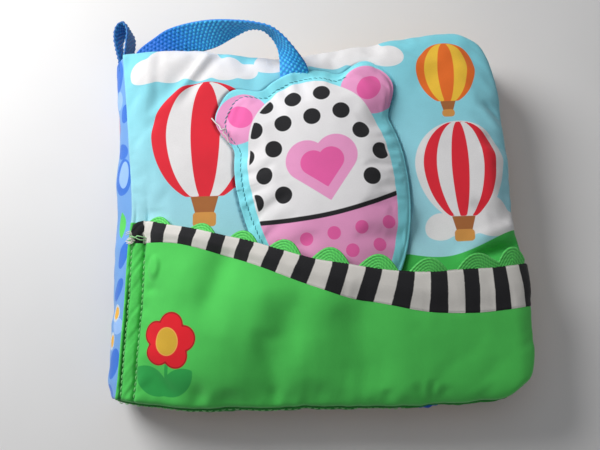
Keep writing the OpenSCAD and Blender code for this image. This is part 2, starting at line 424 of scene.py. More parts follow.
def leaf(x, y, cx, cy, length, width, turn):
    """A pointed oval: where two circles meet."""
    c, s = math.cos(math.radians(turn)), math.sin(math.radians(turn))
    p, q = (x - cx) * c + (y - cy) * s, -(x - cx) * s + (y - cy) * c
    h, w = length / 2, width / 2
    r = (h * h + w * w) / (2 * w)
    return np.maximum(np.hypot(p, q - (w - r)) - r, np.hypot(p, q + (w - r)) - r)


def bloom(x, y, cx, cy, r, petals, turn=0.0, deep=0.16):
    """A flower of round petals."""
    d = None
    for k in range(petals):
        a = math.radians(turn + 360 * k / petals)
        e = circle(x, y, cx + r * 0.56 * math.cos(a), cy + r * 0.56 * math.sin(a), r * 0.46)
        d = e if d is None else smin(d, e, 0.6)
    return np.minimum(d, circle(x, y, cx, cy, r * 0.55))


def balloon(x, y, cx, cy, r):
    """A hot-air balloon's envelope, with its half width at each height."""
    low = 1.28 * r
    dy = y - cy
    k = np.where(dy >= 0, dy / r, dy / low)
    half = r * np.sqrt(np.clip(1 - np.abs(k) ** np.where(dy >= 0, 2.0, 1.7), 0, 1))
    dx = x - cx
    f = np.where(dy >= 0, np.hypot(dx, dy) - r, np.abs(dx) - half)
    f = np.where(dy < 0, f * 0.85, f)
    f = np.maximum(f, -(y - (cy - low * 0.93)))
    return f, half


def gores(x, cx, half, n):
    """Signed distance into the second colour of a balloon of five or seven gores, as seen from the front."""
    q = np.abs(x - cx) / np.maximum(half, 1e-3)
    if n == 5:
        d = np.maximum(0.27 - q, q - 0.72)
    else:
        d = np.minimum(q - 0.19, np.maximum(0.52 - q, q - 0.81))
    return d * np.maximum(half, 3.0)


# ------------------------------------------------------------------ materials
def paint(o, layers):
    """Stores each shape of a print as a distance at every vertex. Layers are (distance, colour, softness in mm)."""
    out = []
    for k, layer in enumerate(layers):
        d, colour, soft = (*layer, 0.14)[:3]
        name = f"print{k}"
        a = o.data.attributes.new(name, "FLOAT", "POINT")
        a.data.foreach_set("value", np.clip(np.asarray(d, float), -300, 300).astype(np.float32).ravel())
        out.append((name, colour, soft))
    return out


def flat_of(o):
    a = o.data.attributes["flat"]
    v = np.zeros(len(o.data.vertices) * 3, np.float32)
    a.data.foreach_get("vector", v)
    v = v.reshape(-1, 3).astype(float)
    return v[:, 0], v[:, 1]


def flat_u(o):
    """The third number kept with a piece's flat coordinates."""
    v = np.zeros(len(o.data.vertices) * 3, np.float32)
    o.data.attributes["flat"].data.foreach_get("vector", v)
    return v.reshape(-1, 3)[:, 2].astype(float)


class Nodes:
    def __init__(self, name):
        self.mat = bpy.data.materials.new(name)
        self.mat.use_nodes = True
        self.t = self.mat.node_tree
        self.t.nodes.clear()
        self.out = self.add("ShaderNodeOutputMaterial")
        self.bsdf = self.add("ShaderNodeBsdfPrincipled")
        self.link(self.bsdf.outputs[0], self.out.inputs[0])

    def add(self, kind, **props):
        n = self.t.nodes.new(kind)
        for k, v in props.items():
            setattr(n, k, v)
        return n

    def link(self, a, b):
        self.t.links.new(a, b)

    def math(self, op, a, b=None, c=None):
        n = self.add("ShaderNodeMath", operation=op)
        for k, v in enumerate((a, b, c)):
            if v is None:
                continue
            if isinstance(v, (int, float)):
                n.inputs[k].default_value = v
            else:
                self.link(v, n.inputs[k])
        return n.outputs[0]

    def attr(self, name, out="Fac"):
        n = self.add("ShaderNodeAttribute", attribute_name=name)
        return n.outputs[out]

    def span(self, v, a, b, lo=0.0, hi=1.0):
        n = self.add("ShaderNodeMapRange")
        self.link(v, n.inputs[0])
        for k, x in zip((1, 2, 3, 4), (a, b, lo, hi)):
            n.inputs[k].default_value = x
        return n.outputs[0]

    def mix(self, f, a, b, blend="MIX"):
        n = self.add("ShaderNodeMix", data_type="RGBA", blend_type=blend)
        for sock, v in ((n.inputs[0], f), (n.inputs[6], a), (n.inputs[7], b)):
            if isinstance(v, (int, float)):
                sock.default_value = v
            elif isinstance(v, tuple):
                sock.default_value = (*v, 1.0)
            else:
                self.link(v, sock)
        return n.outputs[2]

    def noise(self, vec, scale, detail=2.0, rough=0.5):
        n = self.add("ShaderNodeTexNoise")
        self.link(vec, n.inputs["Vector"])
        n.inputs["Scale"].default_value = scale
        n.inputs["Detail"].default_value = detail
        n.inputs["Roughness"].default_value = rough
        return n.outputs["Fac"]


def cloth_material(name, base, layers=(), pitch=0.62, rough=0.82, sheen=0.25, bump=0.35, tint=0.06, twill=False):
    """Printed woven cloth: the print's layers, small shifts of tone, and a weave of threads in its bump."""
    n = Nodes(name)
    flat = n.attr("flat", "Vector")
    colour = tuple(base)
    for attr, c, soft in layers:
        m = n.span(n.attr(attr), soft, -soft)
        colour = n.mix(m, colour, tuple(c))
    sep = n.add("ShaderNodeSeparateXYZ")
    n.link(flat, sep.inputs[0])
    k = 2 * PI / pitch
    sx = n.math("SINE", n.math("MULTIPLY", sep.outputs[0], k))
    if twill:
        sy = n.math("SINE", n.math("MULTIPLY", n.math("ADD", sep.outputs[0], sep.outputs[1]), k))
    else:
        sy = n.math("SINE", n.math("MULTIPLY", sep.outputs[1], k))
    weave = n.math("MULTIPLY", sx, sy)
    fine = n.noise(flat, 1.6, 3.0, 0.6)
    broad = n.noise(flat, 0.045, 3.0, 0.55)
    v = n.math("ADD", n.span(broad, 0.3, 0.7, 1 - tint, 1 + tint), n.span(fine, 0.25, 0.75, -tint * 0.6, tint * 0.6))
    v = n.math("MULTIPLY_ADD", weave, tint * 0.35, v)
    hsv = n.add("ShaderNodeHueSaturation")
    if isinstance(colour, tuple):
        hsv.inputs["Color"].default_value = (*colour, 1.0)
    else:
        n.link(colour, hsv.inputs["Color"])
    n.link(v, hsv.inputs["Value"])
    n.link(hsv.outputs[0], n.bsdf.inputs["Base Color"])
    h = n.math("MULTIPLY_ADD", weave, 0.5, n.math("MULTIPLY", fine, 0.9))
    b = n.add("ShaderNodeBump")
    b.inputs["Strength"].default_value = bump
    b.inputs["Distance"].default_value = 0.00012
    n.link(h, b.inputs["Height"])
    n.link(b.outputs[0], n.bsdf.inputs["Normal"])
    n.link(n.span(fine, 0.3, 0.7, rough - 0.06, rough + 0.08), n.bsdf.inputs["Roughness"])
    n.bsdf.inputs["Specular IOR Level"].default_value = 0.3
    n.bsdf.inputs["Sheen Weight"].default_value = sheen
    n.bsdf.inputs["Sheen Roughness"].default_value = 0.45
    return n.mat


def yarn_material(name, low, high, rough=0.6, sheen=0.3, attr="relief"):
    """Thread and webbing: painted shade between the yarns and painted highlight on their backs, from the height of the
    mesh's own relief.
    """
    n = Nodes(name)
    flat = n.attr("flat", "Vector")
    fine = n.noise(flat, 2.4, 3.0, 0.6)
    f = n.math("ADD", n.attr(attr), n.span(fine, 0.3, 0.7, -0.16, 0.16))
    c = n.mix(n.span(f, 0.0, 1.0), tuple(low), tuple(high))
    n.link(c, n.bsdf.inputs["Base Color"])
    sep = n.add("ShaderNodeSeparateXYZ")
    n.link(flat, sep.inputs[0])
    fib = n.math("SINE", n.math("MULTIPLY", n.math("ADD", sep.outputs[0], n.math("MULTIPLY", sep.outputs[1], 0.4)), 26.0))
    b = n.add("ShaderNodeBump")
    b.inputs["Strength"].default_value = 0.3
    b.inputs["Distance"].default_value = 0.0001
    n.link(n.math("MULTIPLY_ADD", fib, 0.4, fine), b.inputs["Height"])
    n.link(b.outputs[0], n.bsdf.inputs["Normal"])
    n.link(n.span(fine, 0.3, 0.7, rough - 0.08, rough + 0.08), n.bsdf.inputs["Roughness"])
    n.bsdf.inputs["Specular IOR Level"].default_value = 0.4
    n.bsdf.inputs["Sheen Weight"].default_value = sheen
    n.bsdf.inputs["Sheen Roughness"].default_value = 0.4
    return n.mat


def relief(o, values):
    a = o.data.attributes.new("relief", "FLOAT", "POINT")
    a.data.foreach_set("value", np.asarray(values, np.float32).ravel())


def dress(o, *mats):
    for m in mats:
        o.data.materials.append(m)


SKY = lin((128, 214, 230))
SKY_PALE = lin((170, 222, 236))
WHITE = lin((232, 231, 233))
RED = lin((228, 38, 56))
GREEN = lin((81, 206, 91))
LEAF = lin((44, 168, 78))
DARK = lin((30, 30, 34))
CREAM = lin((224, 221, 216))
GOLD = lin((222, 172, 44))
ORANGE = lin((236, 112, 38))
YELLOW = lin((246, 198, 62))
PINK = lin((240, 160, 208))
DEEP_PINK = lin((238, 100, 172))
CYAN = lin((138, 230, 244))
BLUE = lin((28, 132, 228))
PALE_BLUE = lin((110, 164, 230))
MID_BLUE = lin((48, 116, 218))


# ------------------------------------------------------------------ camera, floor, light
def build_stage():
    yaw, el, roll = (math.radians(a) for a in (14.007, 77.838, -15.383))
    back = np.array([math.sin(yaw) * math.cos(el), -math.cos(yaw) * math.cos(el), math.sin(el)])
    right = np.cross(-back, [0, 0, 1])
    right /= np.linalg.norm(right)
    up = np.cross(right, -back)
    r2 = right * math.cos(roll) + up * math.sin(roll)
    u2 = -right * math.sin(roll) + up * math.cos(roll)
    cam = bpy.data.cameras.new("camera")
    cam.lens, cam.sensor_width, cam.sensor_fit = 42.0, 36.0, "HORIZONTAL"
    cam.clip_start, cam.clip_end = 0.01, 20
    o = bpy.data.objects.new("camera", cam)
    bpy.context.scene.collection.objects.link(o)
    m = Matrix.Identity(4)
    for k, (a, b, c) in enumerate(zip(r2, u2, back)):
        m[k][0], m[k][1], m[k][2] = a, b, c
    m[0][3], m[1][3], m[2][3] = 0.00886, -0.07517, 0.36387
    o.matrix_world = m
    bpy.context.scene.camera = o

    me = bpy.data.meshes.new("floor")
    s = 4.0
    me.from_pydata([(-s, -s, -0.0002), (s, -s, -0.0002), (s, s, -0.0002), (-s, s, -0.0002)], [], [(0, 1, 2, 3)])
    floor = bpy.data.objects.new("floor", me)
    bpy.context.scene.collection.objects.link(floor)
    n = Nodes("pale_floor")
    tc = n.add("ShaderNodeTexCoord")
    f = n.noise(tc.outputs["Object"], 9.0, 3.0, 0.5)
    n.link(n.mix(n.span(f, 0.3, 0.7), lin((226, 226, 227)), lin((231, 231, 232))), n.bsdf.inputs["Base Color"])
    n.bsdf.inputs["Roughness"].default_value = 0.7
    n.bsdf.inputs["Specular IOR Level"].default_value = 0.25
    floor.data.materials.append(n.mat)

    def area(name, at, to, size, power, colour):
        light = bpy.data.lights.new(name, "AREA")
        light.shape, light.size, light.energy, light.color = "DISK", size, power, colour
        lo = bpy.data.objects.new(name, light)
        bpy.context.scene.collection.objects.link(lo)
        d = np.array(at) - np.array(to)
        d /= np.linalg.norm(d)
        x = np.cross([0, 0, 1], d)
        x /= np.linalg.norm(x)
        y = np.cross(d, x)
        mm = Matrix.Identity(4)
        for k in range(3):
            mm[k][0], mm[k][1], mm[k][2], mm[k][3] = x[k], y[k], d[k], at[k]
        lo.matrix_world = mm

    area("key", (-0.38, 0.31, 0.38), (-0.03, 0.0, 0.02), 0.36, 3.6, (1.0, 0.985, 0.96))
    area("fill", (0.55, -0.5, 0.8), (0, 0, 0.02), 0.9, 0.65, (1.0, 0.95, 0.88))
    area("top", (-0.1, 0.25, 1.1), (0, 0, 0.02), 0.8, 1.2, (1.0, 1.0, 1.0))
    w = bpy.data.worlds.new("studio")
    bpy.context.scene.world = w
    w.use_nodes = True
    bg = w.node_tree.nodes.get("Background")
    bg.inputs[0].default_value = (0.92, 0.95, 1.0, 1.0)
    bg.inputs[1].default_value = 0.14
    bpy.context.scene.view_settings.view_transform = "Standard"


build_stage()


# ------------------------------------------------------------------ panels
class Panel:
    """A four-sided piece of cloth: its edges in millimetres and the points between them."""

    def __init__(self, bottom, right, top, left, rough=0.0):
        self.b, self.r, self.t, self.l = (spline(p, 700) for p in (bottom, right, top, left))
        k = np.linspace(0, 1, 700)
        for n, c in enumerate((self.b, self.r, self.t)):  # a sewn edge is never a ruled line
            d = np.gradient(c, axis=0)
            out = np.stack([d[:, 1], -d[:, 0]], 1) / np.linalg.norm(d, axis=1)[:, None]
            c += out * (rough * np.sin(PI * k) ** 0.4 * (noise(k * 19.0, n * 2.3, 501) + 0.5 * noise(k * 47.0, n * 3.1, 502)))[:, None]

    def xy(self, u, v):
        u, v = np.broadcast_arrays(np.asarray(u, float), np.asarray(v, float))

        def at(c, s):
            k = np.linspace(0, 1, len(c))
            return np.stack([np.interp(s, k, c[:, 0]), np.interp(s, k, c[:, 1])], -1)

        b, t, l, r = at(self.b, u), at(self.t, u), at(self.l, v), at(self.r, v)
        u, v = u[..., None], v[..., None]
        return (
            (1 - v) * b + v * t + (1 - u) * l + u * r
            - (1 - u) * (1 - v) * self.b[0] - u * (1 - v) * self.b[-1]
            - (1 - u) * v * self.t[0] - u * v * self.t[-1]
        )


FRONT = Panel(
    bottom=[(-97.2, -86.5), (-76, -89.5), (-57, -91), (-10, -90.8), (27, -90.9), (43, -90.8), (57, -90.3), (71, -89.5), (83.5, -88.2), (92.2, -83.2)],
    right=[(92.2, -83.2), (96.2, -78.4), (98.3, -70), (98.6, -58), (98.2, -46), (96.8, -26), (94.5, -6), (94, 19), (93, 40), (91.5, 61), (88.3, 76), (84, 86)],
    top=[(-100, 88.8), (-80, 90.0), (-59, 88.4), (-38, 85.4), (-16, 83), (8.5, 85.2), (22, 87.4), (31, 88.2), (40, 90.2), (58, 92.2), (73, 92.0), (84, 86)],
    left=[(-97.2, -86.5), (-96.2, -64), (-94.8, -40), (-94.0, -15), (-93.3, -6), (-92.6, 2), (-93.5, 20), (-94.9, 36), (-97.4, 63), (-100, 88.8)],
    rough=0.4,
)
W, H = 192.0, 177.0
ROW_1, ROW_2 = 2.8, 9.3
Z_RIM = 28.55


def sides(u, v):
    return u * W, (1 - u) * W, v * H, (1 - v) * H


def cover_rise(u, v, crown=1.6, half=4.25, sewn=1.0):
    """Height of a padded cover's face over its rim plane: a stitched flange on the left, then a stuffed pad."""
    dl, dr, db, dt = sides(u, v)
    pad = clamp01((dl - ROW_2 * sewn) / 13)
    run = dl - ROW_2
    left = np.where(
        run < 0,
        1.2 * dome(dl, 1.6) + 0.55 * np.sin(PI * clamp01((dl - ROW_1) / (ROW_2 - ROW_1))),
        1.2 + (half - 1.2) * (0.6 * dome(run, 14) + 0.4 * np.sin(PI / 2 * clamp01(run / 17))),
    )
    left = left - (0.6 * gauss((dl - ROW_1) / 0.7) + 1.0 * gauss((dl - ROW_2) / 0.9)) * sewn**6
    plain = 1.3 * dome(dl, 1.8) + (half - 1.3) * np.sin(PI / 2 * clamp01((dl - 0.8) / 21)) ** 1.1
    left = plain + (left - plain) * sewn
    d3 = smin(smin(dr, db, 5.0), dt, 5.0)
    rim = dome(d3 + 0.0, 2.2 + 8.5 * pad)
    mid = np.clip(np.minimum(smin(smin(dr, db, 14.0), dt, 14.0), dl - ROW_2 * sewn), 0, None)
    return left * rim + crown * (1 - np.exp(-mid / 38))


def seam_gathers(u, v, seed, deep=0.55, reach=7.0):
    """Small puckers that run in from the sewn edges."""
    dl, dr, db, dt = sides(u, v)
    out = 0.0
    for d, along, k in ((dr, v * H, 1), (db, u * W, 2), (dt, u * W, 3)):
        amp = 0.55 + 0.45 * noise(along / 23.0, k * 3.7, seed + k)
        wave = noise(along / 4.6 + 0.25 * noise(d / 6.0, along / 9.0, seed + 9), 0.15 * d / 4.0 + 7.1 * k, seed + 20 + k)
        out = out + deep * (1.7 if k == 1 else 1.0) * amp * wave * np.exp(-d / reach) * dome(d, 2.0)
    return out


def uv_grid(nu, nv):
    nu, nv = (np.linspace(0, 1, k) if isinstance(k, int) else k for k in (nu, nv))
    return np.meshgrid(nu, nv, indexing="ij")


def rank(values, at):
    """Fractional row numbers of some values in a grid's own positions, carried on past its ends."""
    k = np.arange(len(at))
    out = np.interp(values, at, k)
    out = np.where(values > at[-1], k[-1] + (values - at[-1]) / (at[-1] - at[-2]), out)
    return np.where(values < at[0], (values - at[0]) / (at[1] - at[0]), out)


# the mouth of the pocket and the lower edge of its binding, on the front panel
MOUTH = [(-100, -1.0), (-91, -1.3), (-81, -2.7), (-72, -5.2), (-60, -8.0), (-48, -11.3), (-32, -15.7), (-16, -21.0), (0, -25.8), (12, -27.8), (22, -29.7), (30, -30.9), (38, -31.7), (46, -32.1), (54, -31.9), (68, -30.7), (80.5, -29.9), (88, -29.0), (95, -27.6), (103, -26.6)]
BAND_LOW = [(-100, -12.3), (-91, -12.4), (-83, -12.7), (-74, -13.4), (-66, -14.7), (-47, -20.5), (-28, -27.3), (-9, -35.1), (2.8, -39.5), (10.5, -42.2), (18, -44.2), (25.4, -45.4), (33.6, -47.1), (41, -48.7), (50, -50.2), (57.7, -50.7), (66.8, -50.8), (73.7, -50.6), (86.5, -49.3), (97.8, -47.6), (103, -47.0)]


def solve_v(u, points):
    """The v at which the front panel crosses a line given as y over x."""
    v = np.full_like(u, 0.45)
    for _ in range(14):
        p = FRONT.xy(u, v)
        v = v + (curve_y(points, p[..., 0]) - p[..., 1]) / H
    return v


def pocket_lift(u, v):
    dl, dr, db, dt = sides(u, v)
    p = FRONT.xy(u, v)
    x = p[..., 0]
    left = clamp01((dl - ROW_2) / (0.51 * W - ROW_2))
    right = clamp01(dr / (0.49 * W))
    s = 1 - np.minimum(left, right)
    return 14.0 * np.clip(1 - s * s, 0, 1) ** 1.2 * np.sin(PI / 2 * clamp01(db / 55.0)) ** 1.1


# ------------------------------------------------------------------ plain prints
def pad_print(kind, x, y):
    if kind == "waves":
        out = [(y + 20 + 5 * np.sin(x / 9.0), lin((60, 150, 226)))]
        out.append((np.abs(y + 34 + 5 * np.sin(x / 9.0 + 1)) - 1.6, lin((150, 210, 246))))
        out.append((np.abs(y + 52 + 5 * np.sin(x / 9.0 + 2)) - 1.6, lin((150, 210, 246))))
        out.append((circle(x, y, 42, 40, 20), YELLOW))
        out.append((cloud(x, y, [(-52, 44, 10), (-40, 49, 12), (-26, 44, 9)], 38), WHITE))
        return out
    if kind == "meadow":
        out = [(y + 18 - 8 * np.sin(x / 30.0), GREEN), (y + 52 + 7 * np.sin(x / 24.0), LEAF)]
        for cx, cy, c in ((-44, -14, RED), (4, -24, ORANGE), (50, -8, DEEP_PINK)):
            out.append((bloom(x, y, cx, cy + 18, 15, 6, 15), c))
            out.append((circle(x, y, cx, cy + 18, 5), YELLOW))
        out.append((cloud(x, y, [(20, 58, 10), (33, 63, 12), (47, 58, 9)], 52), WHITE))
        return out
    if kind == "dots":
        d = np.minimum.reduce([circle(x, y, i * 30 + (15 if j % 2 else 0), j * 26, 7) for i in range(-4, 5) for j in range(-4, 5)])
        return [(d, lin((255, 240, 190)))]
    if kind == "stars":
        a, r = np.arctan2(y, x), np.hypot(x, y)
        star = r - 34 - 11 * np.cos(5 * a - PI / 2 * 5)
        out = [(star, YELLOW), (star + 6, ORANGE)]
        d = np.minimum.reduce([circle(x, y, cx, cy, 6) for cx, cy in ((-62, 58), (62, 60), (66, -52), (-60, -58), (-70, 0), (72, 4))])
        return out + [(d, WHITE)]
    return []


def paint_side(o, kind, x, y, side):
    out = []
    for k, layer in enumerate(pad_print(kind, x, y)):
        d, c, soft = (*layer, 0.16)[:3]
        name = f"side{side}_{k}"
        a = o.data.attributes.new(name, "FLOAT", "POINT")
        a.data.foreach_set("value", np.clip(np.asarray(d, float), -300, 300).astype(np.float32).ravel())
        out.append((name, c, soft))
    return out


# ------------------------------------------------------------------ the toy's outline
TOY_C, TOY_LEAN, TOY_SEAM = np.array([2.0, 18.0]), 11.0, 38.95
EAR, EAR_OUT = 48.0, 14.5


def toy_radius(a):
    """The toy's outline at an angle in degrees: an egg with two round ears."""
    a = (a + 180) % 360 - 180
    w, b = 41.0, np.where(np.sin(np.radians(a)) > 0, 53.5, 72.0)
    r = w * b / np.hypot(b * np.cos(np.radians(a)), w * np.sin(np.radians(a)))
    return r + EAR_OUT * (np.exp(-(((a - EAR) / 15) ** 4)) + np.exp(-(((a - 180 + EAR) / 15) ** 4)))


def toy_place(x, y):
    c, s = math.cos(math.radians(TOY_LEAN)), math.sin(math.radians(TOY_LEAN))
    return TOY_C[0] + x * c - y * s, TOY_C[1] + x * s + y * c


def toy_share(x, y):
    """How far out a point lies on the toy: 1 on its outline."""
    dx, dy = x - TOY_C[0], y - TOY_C[1]
    return np.hypot(dx, dy) / toy_radius(np.degrees(np.arctan2(dy, dx)) - TOY_LEAN)


# ------------------------------------------------------------------ front cover
def face_creases(x, y):
    """Soft folds in the upper half of the cover."""
    def fold(a, b, w, h):
        a, b = np.array(a, float), np.array(b, float)
        d = b - a
        t = ((x - a[0]) * d[0] + (y - a[1]) * d[1]) / (d @ d)
        off = ((x - a[0]) * d[1] - (y - a[1]) * d[0]) / np.linalg.norm(d)
        return h * gauss(off / w) * ease((t + 0.35) / 0.5) * ease((1.35 - t) / 0.5)

    z = fold((-68, 62), (-53, 86), 2.6, 1.3) - fold((-63.5, 61), (-49, 84), 3.0, 0.9)
    z = z - fold((-79, 60), (-79.5, 84), 3.2, 0.9) + fold((-84, 58), (-84, 84), 3.6, 0.5)
    z = z + fold((-84, 30), (-74, -4), 6.0, 0.7) - fold((-30, 66), (-36, 84), 4.0, 0.9)
    z = z + fold((82, 47), (93, 37), 2.0, 0.8) - fold((85, 51), (94, 42.5), 1.6, 1.1) - fold((84, 35), (94.5, 28), 1.6, 1.2) + fold((82, 28), (94, 21), 2.2, 0.8)
    z = z - fold((75, -24), (94, -18.5), 3.2, 3.2) + fold((76, -14.5), (93, -8.5), 3.0, 0.8) - fold((76, 0.5), (89.5, -7), 3.0, 1.2)
    z = z - fold((50, 60), (78, 82), 6.0, 0.8) - fold((46, -6), (66, -22), 7.0, 2.2)
    return z


def sky_print(x, y):
    """A sky with clouds, a green hill and three balloons."""
    out = [(y - 28, SKY_PALE, 60.0)]
    out.append((cloud(x, y, [(-22, 78, 8.5), (-9, 84, 11), (8, 83, 12.5), (24, 82, 11), (37, 78, 8)], 71.5), WHITE))
    out.append((cloud(x, y, [(-86, 75, 8), (-74, 80, 11.5), (-58, 79, 11), (-44, 75, 8.5), (-34, 73.5, 6)], 67.5), WHITE))
    out.append((cloud(x, y, [(58, -10, 7), (69, -6, 9), (82, -5, 10), (94, -10, 8)], -17), WHITE))
    hill = -22 + 9 * np.exp(-(((x - 100) / 30) ** 2)) + 3 * np.sin(x / 13.0)
    out.append((y - hill, lin((66, 190, 84))))

    def flight(cx, cy, r, a, b, n):
        f, half = balloon(x, y, cx, cy, r)
        foot = cy - 1.28 * r * 0.93
        cone = np.abs(x - cx) - (r * 0.17 + (y - foot + r * 0.3) * 0.28)
        out.append((np.maximum(np.maximum(cone, y - foot - 0.5), foot - r * 0.34 - y), lin((168, 104, 56))))
        out.append((slab(x, y, cx, foot - r * 0.42, r * 0.42, r * 0.26, 1.6), lin((214, 150, 76))))
        out.append((f, a))
        out.append((np.maximum(f + 0.05, gores(x, cx, half, n)), b))

    flight(-54, 41, 27, RED, WHITE, 5)
    flight(69, 21, 21.5, WHITE, RED, 7)
    flight(65, 70, 14.5, ORANGE, YELLOW, 5)
    return out


# grid places: closer on the stitched flange, and wider apart where the pocket hides the cover
COVER_U = np.concatenate([np.linspace(0, 14 / W, 28, endpoint=False), np.linspace(14 / W, 1, 212)])
COVER_V = np.concatenate([np.linspace(0, 0.33, 24, endpoint=False), np.linspace(0.33, 1, 172)])
POCKET_U = np.concatenate([np.linspace(0, 14 / W, 40, endpoint=False), np.linspace(14 / W, 1, 224)])


def build_front_cover():
    nu, nv = COVER_U, COVER_V
    u, v = uv_grid(nu, nv)
    vm = solve_v(nu, MOUTH)[:, None]
    hid = ease((vm - 0.04 - v) / 0.05)  # under the pocket
    xy = FRONT.xy(u, v)
    cen = np.array([0.0, 0.0])
    dl, dr, db, dt = sides(u, v)
    # under the pocket the pad keeps a little inside the pocket's own edge
    pull = hid * np.exp(-np.minimum(np.minimum(dl, dr), db) / 5.0) * 1.3
    xy = xy - pull[..., None] * (xy - cen) / np.maximum(np.linalg.norm(xy - cen, axis=2, keepdims=True), 1)
    rise = cover_rise(u, v, sewn=1 - ease((v - vm - 0.005) / 0.12))
    free = (1 - hid) * dome(np.minimum(np.minimum(dr * 2, dt), dl), 6.0)
    top = np.concatenate([xy, (Z_RIM + rise + free * face_creases(xy[..., 0], xy[..., 1]) + seam_gathers(u, v, 3) * (1 - 0.8 * hid))[..., None]], 2)
    top[..., 2] -= 2.4 * hid * dome(np.minimum.reduce([dl, dr, db]), 7.0)  # the pocket presses on it
    # simulate on a coarser grid
    cu, cv = 97, 89
    a, b = uv_grid(cu, cv)
    p = FRONT.xy(a, b)
    start = np.concatenate([p, (Z_RIM + cover_rise(a, b) + face_creases(p[..., 0], p[..., 1]) * 0.8 + 0.25 * fbm(p[..., 0] / 14, p[..., 1] / 14, 5))[..., None]], 2)
    dla = sides(a, b)
    vma = solve_v(np.linspace(0, 1, cu), MOUTH)[:, None]
    pin = np.where((np.minimum.reduce(dla) < 0.5) | ((dla[0] < ROW_2 + 0.6) & (b < vma + 0.03)) | (b < vma - 0.08), 1.0, 0.0)
    move = smooth(relax(start, pin, frames=18, grow=0.017, pressure=0.4, bend=0.45, cap=3.2), 2)
    top = top + refine(move, nu, nv) * (1 - hid)[..., None]
    lid = 35.3 + 20 * ease((toy_share(xy[..., 0], xy[..., 1]) - 1.0) / 0.12)  # it is pressed flat under the toy
    top[..., 2] = smin(top[..., 2], lid, 0.8)
    low_rise = cover_rise(u, v, crown=0.0)
    low = np.concatenate([xy, (Z_RIM - low_rise - 0.6 * seam_gathers(u, v, 8))[..., None]], 2)
    slack = dome(np.clip(np.minimum.reduce([dl - ROW_2, dr, db, dt]), 0, None), 12.0)
    low[..., 2] += slack * (0.75 * fbm(xy[..., 0] / 26, xy[..., 1] / 15, 71) + 0.35 * fbm(xy[..., 0] / 9, xy[..., 1] / 13, 72) + 0.35)
    low[..., 2] = np.maximum(low[..., 2], 24.0)
    edge = np.zeros(u.shape, bool)
    edge[[0, -1]] = True
    edge[:, [0, -1]] = True
    low[edge] = top[edge]
    flat = FRONT.xy(u, v)
    o = shell("front_cover", top, low, flat, weld=True)
    x, y = flat_of(o)
    dress(
        o,
        cloth_material("cover_print", SKY, paint(o, sky_print(x, y))),
        cloth_material("cover_lining", lin((250, 206, 92)), paint_side(o, "dots", x, y, 1), tint=0.05),
    )
    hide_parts("front_cover")
    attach(o, "front")
    return top


COVER_TOP = build_front_cover()


# ------------------------------------------------------------------ pocket
def pocket_print(x, y):
    cx, cy = -69.7, -60.0
    tilt = 80
    d = bloom(x, y, cx, cy, 13.1, 5, tilt)
    out = [
        (np.minimum(leaf(x, y, -79.0, -78.2, 19.5, 11.6, -40), leaf(x, y, -66.6, -79.0, 19.5, 11.0, 34)), LEAF),
        (line(x, y, (-70.6, -68), (-72.2, -80), 1.7), LEAF),
        (d, lin((170, 16, 24))),
        (d + 0.75, lin((230, 26, 42))),
        (ellipse(x, y, cx - 1.0, cy - 0.2, 5.7, 6.5, 0), lin((240, 176, 84))),
        (ellipse(x, y, cx - 1.0, cy - 0.2, 5.2, 6.0, 0), lin((218, 174, 54))),
    ]
    return out


def pocket_folds(x, y):
    def fold(a, b, w, h, ends=0.3):
        a, b = np.array(a, float), np.array(b, float)
        d = b - a
        t = ((x - a[0]) * d[0] + (y - a[1]) * d[1]) / (d @ d)
        off = ((x - a[0]) * d[1] - (y - a[1]) * d[0]) / np.linalg.norm(d)
        return h * gauss(off / w) * ease((t + ends) / (2 * ends)) * ease((1 + ends - t) / (2 * ends))

    z = -fold((-42, -19), (-53, -48), 6.8, 3.0) + fold((-60, -22), (-67, -42), 6.0, 0.8)
    z = z - fold((-8, -42), (-28, -84), 9.5, 3.4) - fold((14, -43), (27, -84), 12.0, 3.2) - fold((1, -49), (3, -84), 19.0, 2.5)
    z = z - fold((-56, -82), (-60, -92), 3.2, 0.9) + fold((-50, -82), (-53, -92), 3.0, 0.5) - fold((-22, -83), (-21, -92), 2.6, 0.7)
    z = z - fold((43.5, -82.5), (49, -91), 2.6, 0.9) - fold((50.3, -81.5), (50, -91), 2.2, 0.9) - fold((57, -84), (51, -91), 2.5, 0.7)
    z = z + fold((47, -81.5), (49.5, -91), 2.3, 0.5) + fold((53.5, -82), (50.8, -91), 2.3, 0.4) - fold((30, -85), (31, -92), 2.6, 0.6)
    return z


